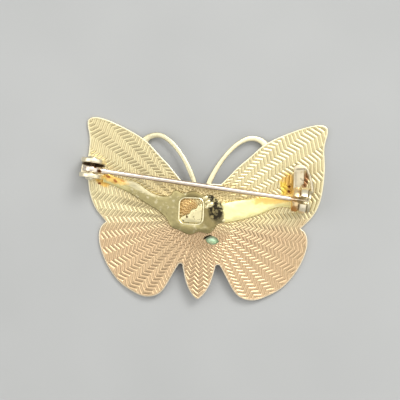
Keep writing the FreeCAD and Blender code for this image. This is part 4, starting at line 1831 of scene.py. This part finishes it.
@dataclass
class CatchRoller:
    """The turning sleeve with its two cheeks and the thumb lever."""

    dress: Dress
    cheek_dress: Dress
    lever_dress: Dress
    sleeve_radius: float = 1.88
    bore: float = 1.42
    cheek_radius: float = 2.3
    half_gap: float = 0.55
    half_hook: float = 0.75
    inner_width: float = 1.3
    outer_width: float = 0.6
    lever_half: float = 0.45
    lever_base: float = 1.62
    lever_clear: float = 0.4
    overlap: float = 0.1
    sleeve_edge: float = 0.06
    inner_edge: float = 0.34
    outer_edge: float = 0.16
    lever_edge: float = 0.22
    step: float = 0.25

    def disc(self, radius: float, start: float, end: float, edge_radius: float) -> Shape:
        """A slotted disc about the pin between two places along it.

        Args:
            radius: Its outer radius.
            start: Where it starts, from the catch's middle.
            end: Where it ends.
            edge_radius: Radius of its rounded edges.

        Returns:
            The disc.
        """
        step = max(RING_STEP, EDGE_STEP * edge_radius)
        ring = open_ring(radius, self.bore, half_gap=self.half_gap, step=step)
        return slab([ring], PIN.catch + start, PIN.catch + end, edge_radius, PIN.end_on)

    def lever(self) -> Shape:
        """The thumb lever: a stout arm and a bowed one under a thumb bar.

        Returns:
            The lever.
        """
        runs = [
            spline(LEVER_BOWED_ARM, self.step), spline(LEVER_TIP, self.step),
            spline(LEVER_STOUT_ARM, self.step), closed(LEVER_WINDOW_STOUT)[::-1],
            spline(LEVER_WINDOW_BOWED, self.step)[::-1],
        ]
        loop = []
        for run in runs:
            kept = [point for point in run if point[1] > self.lever_base + self.lever_clear]
            if min(point[1] for point in run) < self.lever_base:
                rising = run[0][1] < run[-1][1]
                line = sorted(run, key=lambda point: point[1])
                x = float(np.interp(self.lever_base, [p[1] for p in line], [p[0] for p in line]))
                kept = [(x, self.lever_base), *kept] if rising else [*kept, (x, self.lever_base)]
            loop.append(kept)
        return slab(
            [closed(*loop)], -self.lever_half, self.lever_half, self.lever_edge,
            lambda u, v, w: PIN.point(u + PIN.catch, v, w),
        )

    def build(self) -> Pieces:
        """Build and dress the roller.

        Returns:
            The sleeve with its outer cheek, the inner cheek and the lever.
        """
        hook, long = self.half_hook, self.half_hook + self.overlap
        sleeve = self.disc(self.sleeve_radius, -long, long, self.sleeve_edge)
        inner = self.disc(self.cheek_radius, -hook - self.inner_width, -hook, self.inner_edge)
        outer = self.disc(self.cheek_radius, hook, hook + self.outer_width, self.outer_edge)
        return [
            make_piece("catch_sleeve", sleeve.add(outer), self.dress, "catch_roller"),
            make_piece("catch_cheek", inner, self.cheek_dress, "catch_roller"),
            make_piece("catch_lever", self.lever(), self.lever_dress, "catch_roller"),
        ]


@dataclass(frozen=True)
class Lamp:
    """A square soft light that faces the middle of the part; its place is in metres."""

    name: str
    place: Triple
    size: float
    watts: float
    tint: Triple = (1.0, 0.99, 0.97)

    def hang(self) -> None:
        """Add the light to the scene."""
        data = bpy.data.lights.new(self.name, "AREA")
        data.size = self.size
        data.energy = self.watts
        data.color = self.tint
        lamp = bpy.data.objects.new(self.name, data)
        lamp.location = self.place
        lamp.rotation_euler = (-Vector(self.place)).to_track_quat("-Z", "Y").to_euler()
        bpy.context.scene.collection.objects.link(lamp)


@dataclass
class Studio:
    """The floor, the soft lights and the camera straight above the brooch."""

    aim: Pair = (-0.43, 1.823)
    turn: float = 2.1
    distance: float = 280.0
    plane: float = 2.0
    frame_width: float = 75.4
    sensor: float = 36.0
    floor_size: float = 1.2
    floor_drop: float = 0.02
    sky_tint: Triple = (0.98, 0.97, 0.95)
    sky_strength: float = 0.42
    lamps: tuple[Lamp, ...] = (
        Lamp("key", (0.22, 0.33, 0.44), 0.24, 1.6),
        Lamp("overhead", (0.06, 0.24, 0.54), 0.60, 1.45),
        Lamp("near_fill", (0.08, -0.36, 0.34), 0.40, 0.35, (1.0, 0.97, 0.93)),
        Lamp("left_fill", (-0.40, 0.02, 0.34), 0.40, 0.9),
        Lamp("right_fill", (0.42, -0.08, 0.34), 0.40, 0.5, (1.0, 0.98, 0.95)),
    )

    def floor(self) -> None:
        """Lay the pale floor just under the brooch."""
        bpy.ops.mesh.primitive_plane_add(size=self.floor_size, location=(0, 0, -self.floor_drop * MM))
        floor = bpy.context.object
        floor.name = "floor"
        floor.data.materials.append(PaleFloor().make())

    def sky(self) -> None:
        """Surround the brooch with an even pale light."""
        scene = bpy.context.scene
        scene.world = bpy.data.worlds.new("studio")
        scene.world.use_nodes = True
        ground = scene.world.node_tree.nodes["Background"]
        ground.inputs["Color"].default_value = (*self.sky_tint, 1.0)
        ground.inputs["Strength"].default_value = self.sky_strength
        scene.view_settings.view_transform = "Standard"

    def camera(self) -> None:
        """Set the camera straight above, turned as the photograph is."""
        data = bpy.data.cameras.new("camera")
        data.sensor_width = self.sensor
        data.lens = self.sensor * self.distance / self.frame_width
        data.clip_start = 0.01
        camera = bpy.data.objects.new("camera", data)
        camera.location = (self.aim[0] * MM, self.aim[1] * MM, (self.plane + self.distance) * MM)
        camera.rotation_euler = (0, 0, math.radians(self.turn))
        bpy.context.scene.collection.objects.link(camera)
        bpy.context.scene.camera = camera

    def build(self) -> None:
        """Set up the studio."""
        self.floor()
        for lamp in self.lamps:
            lamp.hang()
        self.sky()
        self.camera()


def main() -> None:
    """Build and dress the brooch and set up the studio."""
    logging.basicConfig(level=logging.INFO, format="%(name)s %(message)s")
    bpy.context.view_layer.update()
    wings, strap, smooth, solder, hook, hinge = (
        Dress(finish.make(), Body.BROOCH, Metal.GILT)
        for finish in (StampedGold(), StrapGold(), SMOOTH_GOLD, SOLDER, HOOK_GOLD, HINGE_GOLD)
    )
    lock, cheek, lever = (
        Dress(finish.make(), Body.LOCK, Metal.PIN) for finish in (CATCH_GOLD, CHEEK_GOLD, LEVER_GOLD)
    )
    rivet = Dress(RIVET_GOLD.make(), Body.BROOCH, Metal.PIN)
    pin = Dress(PIN_METAL.make(), Body.PIN, Metal.PIN)
    sections = (
        StampedWings(wings), Antennae(smooth), Strap(strap, smooth, solder), HingeBracket(hinge),
        CatchHook(hook), StoneCup(smooth), Pin(pin, rivet), CatchRoller(lock, cheek, lever),
    )
    for section in sections:
        for piece in section.build():
            triangles = sum(len(face.vertices) - 2 for face in piece.data.polygons)
            LOG.info("%s: %d triangles", piece.name, triangles)
    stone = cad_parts["green_stone"]
    stone.data.materials.clear()
    stone.data.materials.append(GreenGlass().make())
    Studio().build()


if __name__ == "__main__":
    main()
